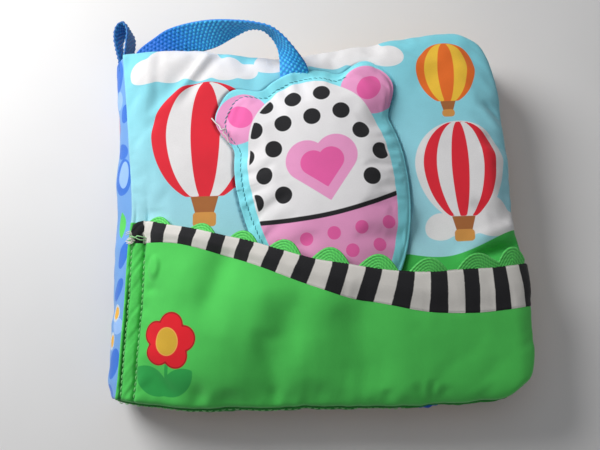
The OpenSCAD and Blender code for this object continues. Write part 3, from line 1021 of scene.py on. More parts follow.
def build_pocket():
    nu, nt = POCKET_U, 120
    u, t = uv_grid(nu, nt)
    vm = solve_v(nu, MOUTH)[:, None]
    v = t * (vm - 0.004)
    xy = FRONT.xy(u, v)
    dl, dr, db, dt = sides(u, v)
    edge = np.minimum(np.minimum(dl, dr), db)
    cen = np.array([0.0, 10.0])
    out = (xy - cen) / np.maximum(np.linalg.norm(xy - cen, axis=2, keepdims=True), 1)
    xy = xy + out * (0.7 * np.exp(-np.minimum(dr, db) / 4.0))[..., None]
    base = cover_rise(u, v)
    z = Z_RIM - 0.5 * (1 - dome(edge, 2.5)) + base + 1.5 * dome(edge, 1.4) + pocket_lift(u, v)
    loose = dome(np.clip(np.minimum(np.minimum(dl - ROW_2, dr), db * 2.2), 0, None), 14.0)
    z = z + loose * pocket_folds(xy[..., 0], xy[..., 1])
    z = z - 1.5 * gauss((db - 6.0) / 6.0) * ease((30 - xy[..., 0]) / 50) * ease((dl - ROW_2) / 8)  # it rolls over at its foot
    run = v * H
    strip = ease((dl - 0.4) / 1.2) * ease((ROW_2 + 0.6 - dl) / 2.2)
    z = z + strip * (0.62 * noise((run + 1.2 * dl) / 5.2, dl / 12.0, 43) + 0.34 * noise((run - 1.5 * dl) / 3.0, dl / 7.0, 44))
    past = np.clip(dl - ROW_2, 0, None)
    z = z + 0.75 * noise((run - 0.8 * dl) / 5.0, dl / 15.0, 45) * np.exp(-past / 4.0) * ease(past / 1.5)
    slit = ease((-26 - xy[..., 1]) / 14) * ease((run - 3) / 6)
    z = z - 1.7 * gauss((dl - 2.2) / 0.5) * slit
    for row in (ROW_1, ROW_2):
        z = z - 0.5 * gauss((dl - row) / 0.55) * (0.5 + 0.5 * np.cos(2 * PI * run / 2.9)) ** 3
    bump = np.hypot((xy[..., 0] + 78.7) / 3.4, (xy[..., 1] + 25.1) / 6.2)
    z = z + 1.7 * ease((1.2 - bump) / 0.75) - 0.7 * gauss(np.hypot(xy[..., 0] + 80, (xy[..., 1] + 35.5) * 1.3) / 3.0)
    g = seam_gathers(u, v, 40, deep=0.62, reach=7.0) * (1 - 0.55 * ease((xy[..., 0] - 5) / 40))
    z = z + g * np.where(t > 0.9, (1 - t) * 10, 1.0)
    top = np.concatenate([xy, z[..., None]], 2)

    cu, ct = 109, 50
    a, b = uv_grid(cu, ct)
    va = b * (solve_v(np.linspace(0, 1, cu), MOUTH)[:, None] - 0.004)
    p = FRONT.xy(a, va)
    ea = sides(a, va)
    z0 = Z_RIM + cover_rise(a, va) + 1.5 * dome(np.minimum(np.minimum(ea[0], ea[1]), ea[2]), 1.4) + pocket_lift(a, va)
    la = dome(np.clip(np.minimum(np.minimum(ea[0] - ROW_2, ea[1]), ea[2]), 0, None), 14.0)
    start = np.concatenate([p, (z0 + la * pocket_folds(p[..., 0], p[..., 1]) * 0.8 + 0.3 * la * fbm(p[..., 0] / 17, p[..., 1] / 17, 77))[..., None]], 2)
    pin = np.where((ea[0] < ROW_2 + 0.6) | (ea[1] < 0.6) | (ea[2] < 0.6) | (b > 0.86), 1.0, 0.0)
    move = smooth(relax(start, pin, frames=18, grow=0.02, pressure=0.3, bend=0.5, cap=3.5), 4)
    top = top + refine(move, nu, nt) * (ease((0.93 - t) / 0.3) * (0.8 - 0.5 * ease((xy[..., 0] + 20) / 50)))[..., None]
    nrm = normals(top)
    thick = 1.0 * dome(np.minimum(edge + 0.35, (1 - t) * 70 + 0.5), 1.6)
    low = top - nrm * thick[..., None]
    flat = FRONT.xy(u, v)
    o = shell("pocket", top, low, np.concatenate([flat, dl[..., None]], 2))
    x, y = flat_of(o)
    row_d = np.minimum(np.abs(flat_u(o) - ROW_1), np.abs(flat_u(o) - ROW_2))
    groove = np.hypot(row_d / 0.55, ((y / 2.9) % 1.0 - 0.5) * 2.9 / 0.75) - 1
    cleft = np.maximum(np.abs(flat_u(o) - 2.2) - 0.35, (y + 34.0) * 0.12 + 0.35 * noise(y / 7.0, 0.5, 47))
    # Painted shade: a darker green along both stitch rows, darker still in the stitch pits and along the slit by the
    # flange's fold.
    flange_painted_shade = [(row_d - 0.45, lin((60, 182, 76)), 0.5), (groove * 0.6, lin((34, 122, 50)), 0.3), (cleft, lin((26, 102, 42)), 0.3)]
    layers = paint(o, flange_painted_shade + pocket_print(x, y))
    mat = cloth_material("pocket_green", GREEN, layers, tint=0.05)
    dress(o, mat, cloth_material("pocket_back", lin((92, 190, 106)), tint=0.05))
    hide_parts("pocket")
    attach(o, "front")
    return top, nrm


POCKET, POCKET_N = build_pocket()


def on_pocket(u, t, lift=0.0):
    """Points on the pocket at panel fractions u and t, raised along its normal; t over 1 runs on past the mouth."""
    u, t, lift = np.broadcast_arrays(np.asarray(u, float), np.asarray(t, float), np.asarray(lift, float))
    i, j = rank(u, POCKET_U), t * (POCKET.shape[1] - 1)
    return sample(POCKET, i, j) + pocket_normal(u, t) * lift[..., None]


def pocket_normal(u, t):
    n = POCKET.shape[1] - 1
    d = sample(POCKET_N, np.clip(rank(u, POCKET_U), 0, len(POCKET_U) - 1), np.clip(t * n, 0, n))
    return d / np.maximum(np.linalg.norm(d, axis=-1, keepdims=True), 1e-9)


def place_on_pocket(x, y, u=None):
    """Panel fractions of points given in x and y on the pocket."""
    x, y = np.broadcast_arrays(np.asarray(x, float), np.asarray(y, float))
    u = np.clip((x + 96.0) / W, 0, 1)
    t = np.full_like(u, 0.8)
    for _ in range(30):
        p = on_pocket(u, t)
        u = u + 0.9 * (x - p[..., 0]) / W
        t = t + 0.9 * (y - p[..., 1]) / (83.0 - 24.0 * clamp01(u))
    return u, t


# ------------------------------------------------------------------ binding and rick-rack
def mouth_line(n):
    """u of points evenly spaced along the mouth, with their length along it."""
    u = np.linspace(0.0, 1.0, 1600)
    p = on_pocket(u, 1.0)
    s = np.concatenate([[0], np.cumsum(np.linalg.norm(np.diff(p, axis=0), axis=1))])
    w = np.linspace(0, s[-1], n)
    return np.interp(w, s, u), w


def build_binding():
    ns, nq = 470, 36
    u_all, s_all = mouth_line(3000)
    x_all = on_pocket(u_all, 1.0)[:, 0]
    s0, s1 = float(np.interp(-89.6, x_all, s_all)), s_all[-1] - 0.2
    s = np.linspace(s0, s1, ns)
    top_edge = on_pocket(np.interp(s, s_all, u_all), 1.0)[:, :2]
    tang = np.gradient(top_edge, axis=0)
    tang /= np.linalg.norm(tang, axis=1, keepdims=True)
    for _ in range(30):
        tang[1:-1] = (tang[:-2] + tang[1:-1] + tang[2:]) / 3
    # each cross line of the band stands square to the mouth
    down = np.stack([tang[:, 1], -tang[:, 0]], 1)
    down = down + (np.array([[0.0, -1.0]]) - down) * np.exp(-(s - s0) / 7.0)[:, None]  # but its end is upright
    down /= np.linalg.norm(down, axis=1, keepdims=True)
    reach = np.full(ns, 14.0)
    for _ in range(20):
        q = top_edge + down * reach[:, None]
        reach = reach + (q[:, 1] - curve_y(BAND_LOW, q[:, 0])) * 0.9
    qq = np.linspace(0, 1, nq)[None] * np.ones((ns, 1))  # from the lower edge to the top edge
    end = clamp01((s - s0) / 5.0)[:, None]
    top_q = 1.0 - 0.42 * (1 - dome(end, 1.0))
    back = reach[:, None] * (1 - qq * top_q)
    xy = top_edge[:, None] + down[:, None] * back[..., None]
    u, t = place_on_pocket(xy[..., 0], xy[..., 1])
    t = t + 0.014 * ease((qq - 0.9) / 0.1)
    puff = 0.30 + 1.25 * ease(qq / 0.6) + 0.25 * np.sin(PI * qq) ** 0.7
    puff = puff + 1.2 * (1 - end) ** 2 * ease((qq - 0.35) / 0.6)
    ripple = 0.16 * noise(s[:, None] / 5.2, qq * 2.2, 51) * np.sin(PI * qq) + 0.10 * noise(s[:, None] / 2.3, 3.0, 57) * (1 - qq)
    edge = np.minimum(np.minimum(qq, 1 - qq) * 15.0, (s[:, None] - s0))
    edge = np.minimum(edge, (s1 - s[:, None]))
    top = on_pocket(u, t, puff + ripple - 0.45 * (1 - dome(edge, 0.9)))
    low = on_pocket(u, t, np.maximum(puff + ripple - 0.40 - 0.45 * dome(edge, 0.9), 0.03))
    width = np.linalg.norm(top[:, -1] - top[:, 0], axis=1)
    flat = np.stack([s[:, None] + 0 * qq, qq * width[:, None]], 2)
    o = shell("pocket_binding", top, low, flat)
    # 27 stripes, with a short one first
    x, y = flat_of(o)
    first, second = (float(np.interp(v, x_all, s_all)) for v in (-85.6, -79.2))
    edges = np.concatenate([[s0 - 5, first], np.linspace(second, s1 - 9.6, 25), [s1 + 5]])
    # the cloth is cut on a slant, so the stripes lean, and hand feeding makes them drift
    px, pq = np.interp(x, s, top_edge[:, 0]), y / np.interp(x, s, width)
    drift = np.interp(px, [-80, -66, -52, -38, -24, -8, 35, 52, 69, 78, 90, 95], [0, 0.4, 1.4, 1.0, 0.5, 0, 0, 0.4, 1.3, 1.3, 0.2, -1.2])
    tilt = np.interp(px, [-80, -66, -24, -8, 35, 52, 69, 83, 95], [0, 1.2, 1.5, 1.8, 2.4, 1.5, 1.3, 0.6, 0.8])
    x = x - drift - tilt * pq - 0.6 * gauss((x - first) / 5.0) * (1 - pq)
    k = np.clip(np.searchsorted(edges, x, side="right") - 1, 0, len(edges) - 2)
    d = np.minimum(x - edges[k], edges[k + 1] - x)
    d = np.where(k % 2 == 0, -d, d) + 0.10 * noise(y / 1.6, k * 3.1, 66) * (np.abs(d) < 1)
    layers = paint(o, [(d, DARK, 0.16)])
    mat = cloth_material("binding_stripes", CREAM, layers, pitch=0.55, tint=0.05, bump=0.45)
    dress(o, mat, mat)
    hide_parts("pocket_binding")
    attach(o, "front")
    return s0, s1, s_all, u_all


BAND = build_binding()


def build_rickrack():
    s0, s1, s_all, u_all = BAND
    ns, nq = 760, 26
    s = np.linspace(s0 + 5.0, s1 - 5.4, ns)
    u = np.interp(s, s_all, u_all)
    base = on_pocket(u, 1.0)
    tang = np.gradient(base, axis=0)
    tang /= np.linalg.norm(tang, axis=1, keepdims=True)
    for _ in range(12):
        tang[1:-1] = (tang[:-2] + tang[1:-1] + tang[2:]) / 3
    nrm = pocket_normal(u, np.ones_like(u))
    out = np.cross(nrm, tang)
    # the braid's waves, each crest at its own place along the mouth
    crest_x = [-98.0, -76.3, -53.9, -34.0, -15.1, 5.6, 27.3, 50.2, 72.0, 83.8, 89.6, 95.4]
    phase = np.interp(base[:, 0], crest_x, [0, 1, 2, 3, 4, 5, 6, 7, 8, 8.5, 9, 9.5])
    for _ in range(40):
        phase[1:-1] = (phase[:-2] + phase[1:-1] + phase[2:]) / 3
    amp = np.interp(base[:, 0], [-80, -20, 40, 72, 82, 95], [4.0, 4.0, 4.2, 3.9, 3.0, 3.0])
    mean = np.interp(base[:, 0], [-80, -40, -15, 5, 27, 50, 66, 72, 80, 95], [-3.6, -2.9, -1.7, -0.6, -0.5, -0.9, -0.7, -0.2, 2.2, 2.3])
    half = 3.7
    q = np.linspace(-1, 1, nq)[None]
    c = mean + amp * np.cos(2 * PI * phase)
    slope = np.gradient(c, s)
    lean = -0.72 * slope / np.sqrt(1 + (0.72 * slope) ** 2)
    rise_n = np.sqrt(1 - lean**2)
    off = c[:, None] + half * q * rise_n[:, None]
    along = half * q * lean[:, None]
    tucked = np.where(off < -0.8, -0.8 + (off + 0.8) * 0.33, off)  # what the binding covers is drawn in
    cords = 6
    rib = np.abs(np.sin(PI * cords * (q + 1) / 2)) ** 0.6 * np.ones((ns, 1))
    braid = 0.5 + 0.5 * np.sin(2 * PI * (s[:, None] / 1.3 + cords * (q + 1) / 2 * 0.5))
    stand = np.interp(base[:, 0], [-80, 30, 60, 90], [0.10, 0.18, 0.40, 0.34])[:, None]
    shown = ease((off + 1.2) / 1.6)
    rise = 0.12 + 0.30 * shown + stand * np.maximum(off, 0) + 0.2 * np.sin(2 * PI * phase)[:, None] * clamp01(off / 3)
    edge = dome((1 - np.abs(q)) * half, 0.7)
    thick = (0.25 + 0.75 * shown) * edge * (0.35 + 0.65 * rib)
    mid = base[:, None] + out[:, None] * tucked[..., None] + tang[:, None] * along[..., None] + nrm[:, None] * rise[..., None]
    top = mid + nrm[:, None] * (0.08 + 0.55 * thick + 0.09 * braid * edge * shown)[..., None]
    low = mid - nrm[:, None] * (0.06 + 0.30 * thick)[..., None]
    flat = np.stack([s[:, None] + 0 * off, off], 2)
    o = shell("rickrack", top, low, flat)
    # The relief paints highlight on the cords' backs and shade between the cords and at the braid's edges.
    r = clamp01(0.10 + 0.75 * rib * edge + 0.25 * (braid - 0.5))
    relief(o, np.concatenate([r.ravel(), r.ravel()]))
    mat = yarn_material("rickrack_braid", lin((34, 150, 58)), lin((112, 244, 118)))
    dress(o, mat, mat)
    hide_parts("rickrack")
    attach(o, "front")


build_rickrack()


# ------------------------------------------------------------------ toy
def heart(x, y, cx, cy, s):
    """A heart on its point, about s wide and high."""
    p, q = np.abs(x - cx) / s, (y - cy) / s
    h = 0.5 * np.maximum(p + q, 0)
    a = np.hypot(p - 0.25, q - 0.75) - math.sqrt(2) / 4
    b = np.sqrt(np.minimum(p * p + (q - 1) ** 2, (p - h) ** 2 + (q - h) ** 2)) * np.sign(p - q)
    return np.where(p + q > 1, a, b) * s


def toy_print(x, y):
    """Even rows of dots and a heart over a dotted skirt, with two-tone ears."""
    m = np.abs(x)
    def rim(x, y):
        a, w, b = np.arctan2(y, x), 41.0, np.where(np.asarray(y) > 0, 53.5, 72.0)
        return np.hypot(x, y) - (w * b / np.maximum(np.hypot(b * np.cos(a), w * np.sin(a)), 1e-6) - 7.0)
    egg = rim(x, y)
    ex, ey = 47.0 * math.cos(math.radians(EAR)), 47.0 * math.sin(math.radians(EAR))
    out = [(circle(m, y, ex, ey, 13.2), PINK), (ellipse(m, y, ex + 0.4, ey + 0.4, 5.4, 7.4, -42), DEEP_PINK)]
    out.append((egg, lin((236, 235, 238))))
    skirt = y + 22.5 - 0.0035 * x * x
    dots = [(2 + 14 * i + (7 if j % 2 else 0), 25.5 - 11.5 * j, 4.1) for i in range(-4, 4) for j in range(-2, 5)]
    dots = [d for d in dots if rim(d[0], d[1]) < 0.5 and heart(np.array(d[0]), np.array(d[1]), 2.0, -16.5, 28.0) > d[2] + 1.0 and d[1] + 22.5 - 0.0035 * d[0] ** 2 > d[2] + 2.5]
    out.append((np.maximum(np.minimum.reduce([circle(x, y, *d) for d in dots]), egg + 1.0), DARK))
    out.append((heart(x, y, 2.0, -16.5, 28.0), PINK))
    out.append((heart(x, y, 2.0, -10.0, 17.0), DEEP_PINK))
    out.append((np.maximum(skirt, egg), PINK))
    spots = np.minimum.reduce([circle(x, y, i * 13 + (6.5 if j % 2 else 0), -31.5 - j * 9.5, 3.1) for i in range(-4, 5) for j in range(5)])
    out.append((np.maximum(np.maximum(spots, skirt + 1.5), egg), DEEP_PINK))
    out.append((np.maximum(np.abs(skirt) - 1.1, egg), DARK))
    return out


def build_toy():
    n = 170
    a, b = uv_grid(n, n)
    p, q = 2 * a - 1, 2 * b - 1
    # a square grid bent into a disc, so there is no pinched centre
    dx, dy = p * np.sqrt(1 - q * q / 2), q * np.sqrt(1 - p * p / 2)
    rho, ang = np.hypot(dx, dy), np.degrees(np.arctan2(dy, dx))
    R = toy_radius(ang)
    ease_in = rho**3
    r_soft = 46.0 + (R - 46.0) * (0.25 + 0.75 * ease_in)
    lx, ly = rho * r_soft * np.cos(np.radians(ang)), rho * r_soft * np.sin(np.radians(ang))
    inset = (1 - rho) * R  # from the cut edge
    left = ease((np.abs((ang + 180) % 360 - 180) - 52) / 46)  # 1 at the left and top, 0 at the right
    hem = 1.1 + (3.5 + 0.7 * noise(ang / 9.0, 0.0, 5)) * left
    d = np.clip(inset - hem, 0, None)
    span = 1 - clamp01(d / (R - hem) * 1.0)
    up = 7.0 * np.clip(1 - span**2.6, 0, 1) ** 0.6
    wave = 0.55 * noise(ang / 5.0, 2.0, 8) * np.exp(-((inset - hem) / 5.0) ** 2) + 0.5 * noise(ang / 11.0, rho * 2, 9) * ease(d / 4) * np.exp(-d / 12)
    wave = wave * (0.35 + 0.65 * left)
    hemwave = (0.9 * noise(ang / 13.0, 1.0, 12) + 1.1 * gauss((ang - 98) / 14)) * (1 - clamp01(inset / 4.6)) * (0.3 + 0.7 * left)
    wx, wy = toy_place(lx, ly)
    dip = -1.3 * gauss((lx + 16) / 9) * gauss((ly - 14) / 22) - 1.0 * gauss((lx - 22) / 7) * gauss((ly - 26) / 14)
    top = np.stack([wx, wy, TOY_SEAM + 0.55 * dome(inset, 0.8) + up + wave + hemwave + dip * ease(d / 12)], 2)
    c = 69
    sel = np.linspace(0, n - 1, c)
    ii, jj = np.meshgrid(sel, sel, indexing="ij")
    start = sample(top, ii, jj)
    ins = sample(inset[..., None], ii, jj)[..., 0]
    hems = sample(hem[..., None], ii, jj)[..., 0]
    pin = np.where(ins < hems + 0.8, 1.0, 0.0)
    start[..., 2] += 0.2 * fbm(start[..., 0] / 10, start[..., 1] / 10, 91) * (1 - pin)
    move = relax(start, pin, frames=16, grow=0.02, pressure=0.6, bend=0.3, cap=2.4)
    top = top + refine(smooth(move, 2), n, n)
    low = np.stack([wx, wy, TOY_SEAM - 0.55 * dome(inset, 0.8) - 0.42 * up + hemwave], 2)
    flat = np.stack([lx, ly], 2)
    o = shell("toy", top, low, flat, weld=False)
    x, y = flat_of(o)
    layers = paint(o, toy_print(x, y))
    dress(o, cloth_material("toy_face", CYAN, layers, tint=0.04), cloth_material("toy_back", lin((120, 214, 232)), tint=0.05))
    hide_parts("toy")
    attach(o, "front")
    # the row of stitches round its hem
    th = np.linspace(62, 268, 580)
    rr = toy_radius(th) - 4.1
    path, ups = [], []
    nn = normals(top)
    for k, t in enumerate(th):
        r = rr[k]
        g = r / toy_radius(np.array([t]))[0]
        ddx, ddy = g * math.cos(math.radians(t)), g * math.sin(math.radians(t))
        # back from the disc to the square
        s2 = math.sqrt(2)
        f1 = math.sqrt(max(0, 2 + ddx**2 - ddy**2 + 2 * s2 * ddx)) - math.sqrt(max(0, 2 + ddx**2 - ddy**2 - 2 * s2 * ddx))
        f2 = math.sqrt(max(0, 2 - ddx**2 + ddy**2 + 2 * s2 * ddy)) - math.sqrt(max(0, 2 - ddx**2 + ddy**2 - 2 * s2 * ddy))
        i, j = (f1 / 2 + 1) / 2 * (n - 1), (f2 / 2 + 1) / 2 * (n - 1)
        path.append(sample(top, np.array([i]), np.array([j]))[0])
        ups.append(sample(nn, np.array([i]), np.array([j]))[0])
    v, f = stitches(np.array(path), np.array(ups), 2.5, 2.0, 0.22, seed=5, wander=0.5, lean=0.3)
    st = make("toy_stitches", v, f)
    relief(st, np.full(len(v), 0.6))
    dress(st, yarn_material("toy_thread", lin((40, 110, 122)), lin((92, 178, 190))))
    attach(st, "front")
    return top


TOY_TOP = build_toy()


# ------------------------------------------------------------------ webbing
def webbing(name, a, b, thick, na, nb, low_c, high_c, weave=(1.7, 1.25), deep=0.24, inner_painted_shade=1.0, painted_shade_ramp=None):
    """A flat woven strap between two edge lines, with its weave in the mesh and painted shade and highlight from it.
    Returns the object and its ring centres.
    """
    q = np.linspace(0, 1, nb)[None, :, None]
    mid = a[:, None] * (1 - q) + b[:, None] * q
    nrm = normals(mid)
    length = np.concatenate([[0], np.cumsum(np.linalg.norm(np.diff((a + b) / 2, axis=0), axis=1))])
    width = np.linalg.norm(a - b, axis=1).mean()
    s, w = length[:, None] + 0 * q[..., 0], (q[..., 0] * width) + 0 * length[:, None]
    count = round(width / weave[0])
    col = np.minimum(np.floor(w / width * count), count - 1)
    across = np.cos(PI * (w / width * count - col - 0.5))
    beat = np.cos(2 * PI * (s / (2 * weave[1]) + 0.5 * (col % 2) + 0.12 * noise(s / 4.0, w / 3.0, 301)))
    worn = 1 + 0.3 * noise(s / 1.6, w / 1.6, 302)
    hi, lo = (clamp01(np.clip(across, 0, 1) ** 0.8 * (0.5 + k * beat) ** 1.1 * worn) for k in (0.5, -0.5))
    edge = np.minimum(w, width - w)
    body = thick / 2 * (0.45 + 0.55 * dome(edge, 0.9))
    top = mid + nrm * (body + deep * (hi - 0.5) * 2 * dome(edge, 0.7))[..., None]
    low = mid - nrm * (body + deep * (lo - 0.5) * 2 * dome(edge, 0.7))[..., None]
    o = shell(name, top, low, np.stack([s, w], 2))
    # Painted light in the relief: a painted highlight on the yarns' backs and painted shade between them, a painted
    # shade ramp over the strap's first stretch from its sewn end, and painted shade over the whole lower face when its
    # factor is under 1.
    shown = ease((s - painted_shade_ramp[0]) / painted_shade_ramp[1]) if painted_shade_ramp else 1 + 0 * s
    relief(o, np.concatenate([(shown * (0.22 + 0.78 * hi)).ravel(), (inner_painted_shade * shown * (0.16 + 0.84 * lo)).ravel()]))
    m = yarn_material(name + "_weave", low_c, high_c, rough=0.55, sheen=0.06)
    dress(o, m, m)
    return o, (a + b) / 2


# the strap's two edge lines, station by station, from the spine over to the toy
TETHER = [
    [[-97.5, 87, 23.3], [-93, 71.5, 23.3]], [[-92, 94, 24.0], [-84.5, 80.0, 23.3]], [[-84, 98.5, 26.5], [-76.5, 84.5, 23.3]],
    [[-76.5, 100.9, 30.5], [-69.1, 88.0, 23.6]], [[-63.8, 100.7, 37.0], [-59.0, 89.5, 26.5]], [[-50.2, 98.5, 43.5], [-49.3, 90.4, 30.5]],
    [[-37.3, 95.0, 48.5], [-40.5, 93.4, 34.0]], [[-28.1, 91.9, 51.3], [-32.4, 96.0, 36.5]], [[-19.9, 88.6, 52.3], [-25.6, 94.6, 38.2]],
    [[-14.9, 84.9, 51.6], [-21.3, 90.9, 38.2]], [[-10.2, 79.9, 50.2], [-18.1, 85.7, 37.4]], [[-6.1, 75.4, 47.2], [-16.9, 79.4, 36.8]],
    [[-3.2, 72.4, 42.2], [-16.8, 72.4, 36.9]], [[-2.2, 69.4, 38.0], [-16.7, 66.4, 36.9]], [[-2.4, 66.0, 36.8], [-16.6, 62.0, 36.8]],
]


def build_tether():
    st = np.array(TETHER, float)
    six = spline(st.reshape(-1, 6), 480)
    a, b = six[:, :3], six[:, 3:]
    # the strap's first stretch from the spine is painted darker, as shade
    o, mid = webbing("toy_tether", b, a, 1.4, 480, 44, lin((2, 104, 214)), lin((74, 212, 255)), painted_shade_ramp=(16.0, 36.0))
    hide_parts("toy_tether")
    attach(o, "front")


build_tether()


def build_hang_loop():
    pts = [(-101.0, 82), (-100.8, 88), (-100.3, 94), (-99.8, 99.5), (-99.5, 104), (-100.3, 107.8), (-102.4, 109.9), (-104.9, 108.4), (-106.3, 104.3), (-106.0, 99), (-104.9, 94), (-103.4, 88), (-102.6, 82)]
    p = spline(pts, 260)
    s = np.linspace(0, 1, len(p))
    drop = 0.7 * np.sin(PI * s)
    a = np.column_stack([p, 8.9 + drop])
    b = np.column_stack([p, 23.9 + 0.6 * drop])
    # the loop's inner face is painted darker, as the shade inside the loop
    o, mid = webbing("hang_loop", b, a, 1.5, 260, 42, lin((4, 72, 160)), lin((92, 200, 255)), inner_painted_shade=0.45)
    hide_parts("hang_loop")
    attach(o, "block")


build_hang_loop()


# ------------------------------------------------------------------ spine
def spine_print(x, y):
    """Loose petals, leaves and small ovals on pale blue. x runs round the spine and y along it."""
    pet, pale, oval, core, green = [], [], [], [], []
    for cy, cx, a, b, turn in (
        (80, 8, 6.0, 9.0, 10), (57, 3, 4.0, 5.0, 30), (38, 9, 6.5, 4.0, 20), (24, 8, 7.5, 9.5, 8), (-17, 5, 3.8, 7.0, 24), (-34, 8, 3.6, 6.5, 38), (-70, 7, 5.0, 7.5, 18), (-84, 11, 4.0, 4.5, 0),
        (68, 24, 6, 8, 20), (46, 29, 5, 7, 0), (18, 25, 6, 8, -30), (-8, 29, 5, 7, 40), (-38, 25, 6, 8, 10), (-62, 29, 5, 6, 0),
    ):
        pet.append(ellipse(x, y, cx, cy, a, b, turn))
    for cy, cx, a, b in ((25, 7, 4.2, 7.0), (66, 9, 4.5, 5.0), (-52, 6, 5.0, 4.0)):
        pale.append(ellipse(x, y, cx, cy, a, b, 8))
    for cy, cx in ((-45.5, 8.5), (-59, 11.5), (8, 26), (60, 28), (-78, 25)):
        oval.append(ellipse(x, y, cx, cy, 3.6, 4.4, 0))
        core.append(ellipse(x, y, cx - 0.4, cy, 2.4, 3.1, 0))
    for cy, cx, turn in ((-1, 9, 84), (-50, 27, 70), (32, 27, 110)):
        green.append(leaf(x, y, cx, cy, 14, 6.0, turn))
    red = ellipse(x, y, 17.0, 53, 3.6, 8.5, 0)
    return [
        (np.minimum.reduce(pet), MID_BLUE), (np.minimum.reduce(pale), lin((150, 192, 248))), (np.minimum.reduce(green), lin((86, 214, 92))),
        (np.minimum.reduce(oval), lin((196, 212, 226))), (np.minimum.reduce(core), lin((238, 178, 46))), (red, lin((214, 52, 84))),
    ]


def build_spine():
    ny, nf = 240, 104
    Y = np.linspace(-86.6, 87.6, ny)
    # a slack half tube: steep under the front cover, fullest low down
    prof = spline([(0.0, 28.1), (2.2, 26.4), (5.2, 22.4), (7.4, 17.2), (8.3, 12.0), (7.2, 7.4), (4.0, 5.0), (0.6, 4.7)], nf)
    k = np.linspace(0, 1, nf)
    rim = np.interp(Y, FRONT.l[:, 1], FRONT.l[:, 0]) + 0.9
    full = curve_y([(-95, 0.78), (-86, 0.84), (-78, 1.02), (-70, 1.0), (-52, 1.03), (-46, 0.93), (-37, 1.04), (-24, 1.03), (-12, 1.0), (0, 0.93), (12, 0.94), (24, 1.06), (32, 1.0), (40, 0.9), (60, 1.02), (75, 1.08), (87, 1.1), (95, 1.1)], Y)
    blend = ease(k / 0.75)[:, None]
    x0 = rim[None] * (1 - blend) + (-97.6) * blend
    wob = 0.45 * fbm(Y[None] / 19, k[:, None] * 2.2, 61) + 0.28 * noise(Y[None] / 6.0, k[:, None] * 2.0, 62)
    wob = wob * np.sin(PI * k)[:, None]
    edge = np.minimum(Y + 86.6, 87.6 - Y)[None]
    x = x0 - prof[:, 0][:, None] * full[None] - wob + 0.7 * (1 - dome(edge, 2.0))
    z = prof[:, 1][:, None] + 0.5 * noise(Y[None] / 26, 2.0, 64) * np.sin(PI * k)[:, None]
    outer = np.stack([x, Y[None] + 0 * x, z], 2)
    n = normals(outer)
    if n[..., 0].mean() > 0:
        n = -n
    inner = outer - n * (1.2 * dome(edge + 0.5, 1.5))[..., None]
    run = np.concatenate([[0], np.cumsum(np.linalg.norm(np.diff(prof, axis=0), axis=1))])
    flat = np.stack([run[:, None] + 0 * x, Y[None] + 0 * x], 2)
    mid = nf // 2

    def half(name, rows, other, start, end):
        o_, i_, f_ = outer[rows], inner[rows], flat[rows]
        if np.cross(np.gradient(o_, axis=0), np.gradient(o_, axis=1))[..., 0].mean() > 0:
            o_, i_, f_ = o_[::-1], i_[::-1], f_[::-1]
        o = shell(name, o_, i_, f_)
        px, py = flat_of(o)
        m = cloth_material(name + "_print", PALE_BLUE, paint(o, spine_print(px, py)), tint=0.05)
        dress(o, m, cloth_material(name + "_back", lin((150, 176, 220)), tint=0.05))
        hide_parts("spine")
        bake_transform(o)

    half("spine_upper", slice(0, mid + 1), "front", (-0.104, 0, 0.0195), (-0.0984, 0, 0.0276))
    half("spine_lower", slice(mid, nf), "back", (-0.104, 0, 0.0125), (-0.0984, 0, 0.0050))


build_spine()


# ------------------------------------------------------------------ leaves and back cover
def box_panel(x0, x1, y0, y1, r, sag, seed):
    """A rounded four-sided panel whose edges draw in between the corners."""
    def wav(a, b, k):
        a, b = np.array(a, float), np.array(b, float)
        t = np.linspace(0, 1, 9)
        d = b - a
        nrm = np.array([-d[1], d[0]]) / np.linalg.norm(d)
        amp = -sag * np.sin(PI * t) ** 0.8 + 0.8 * sag * noise(t * 3.1 + 0.4, k, seed) * np.sin(PI * t)
        return [tuple(a + d * s - nrm * h) for s, h in zip(t, amp)]

    c = r * (1 - math.sqrt(0.5))
    bottom = wav((x0, y0), (x1 - r, y0), 1) + [(x1 - c, y0 + c)]
    right = [(x1 - c, y0 + c)] + wav((x1, y0 + r), (x1, y1 - r), 2) + [(x1 - c, y1 - c)]
    top = [tuple(p) for p in wav((x1 - r, y1), (x0, y1), 3)][::-1] + [(x1 - c, y1 - c)]
    left = [(x0, y0), (x0 + 0.4, y0 / 2), (x0 + 0.8, 0), (x0 + 0.4, y1 / 2), (x0, y1)]
    return Panel(bottom, right, top, left)


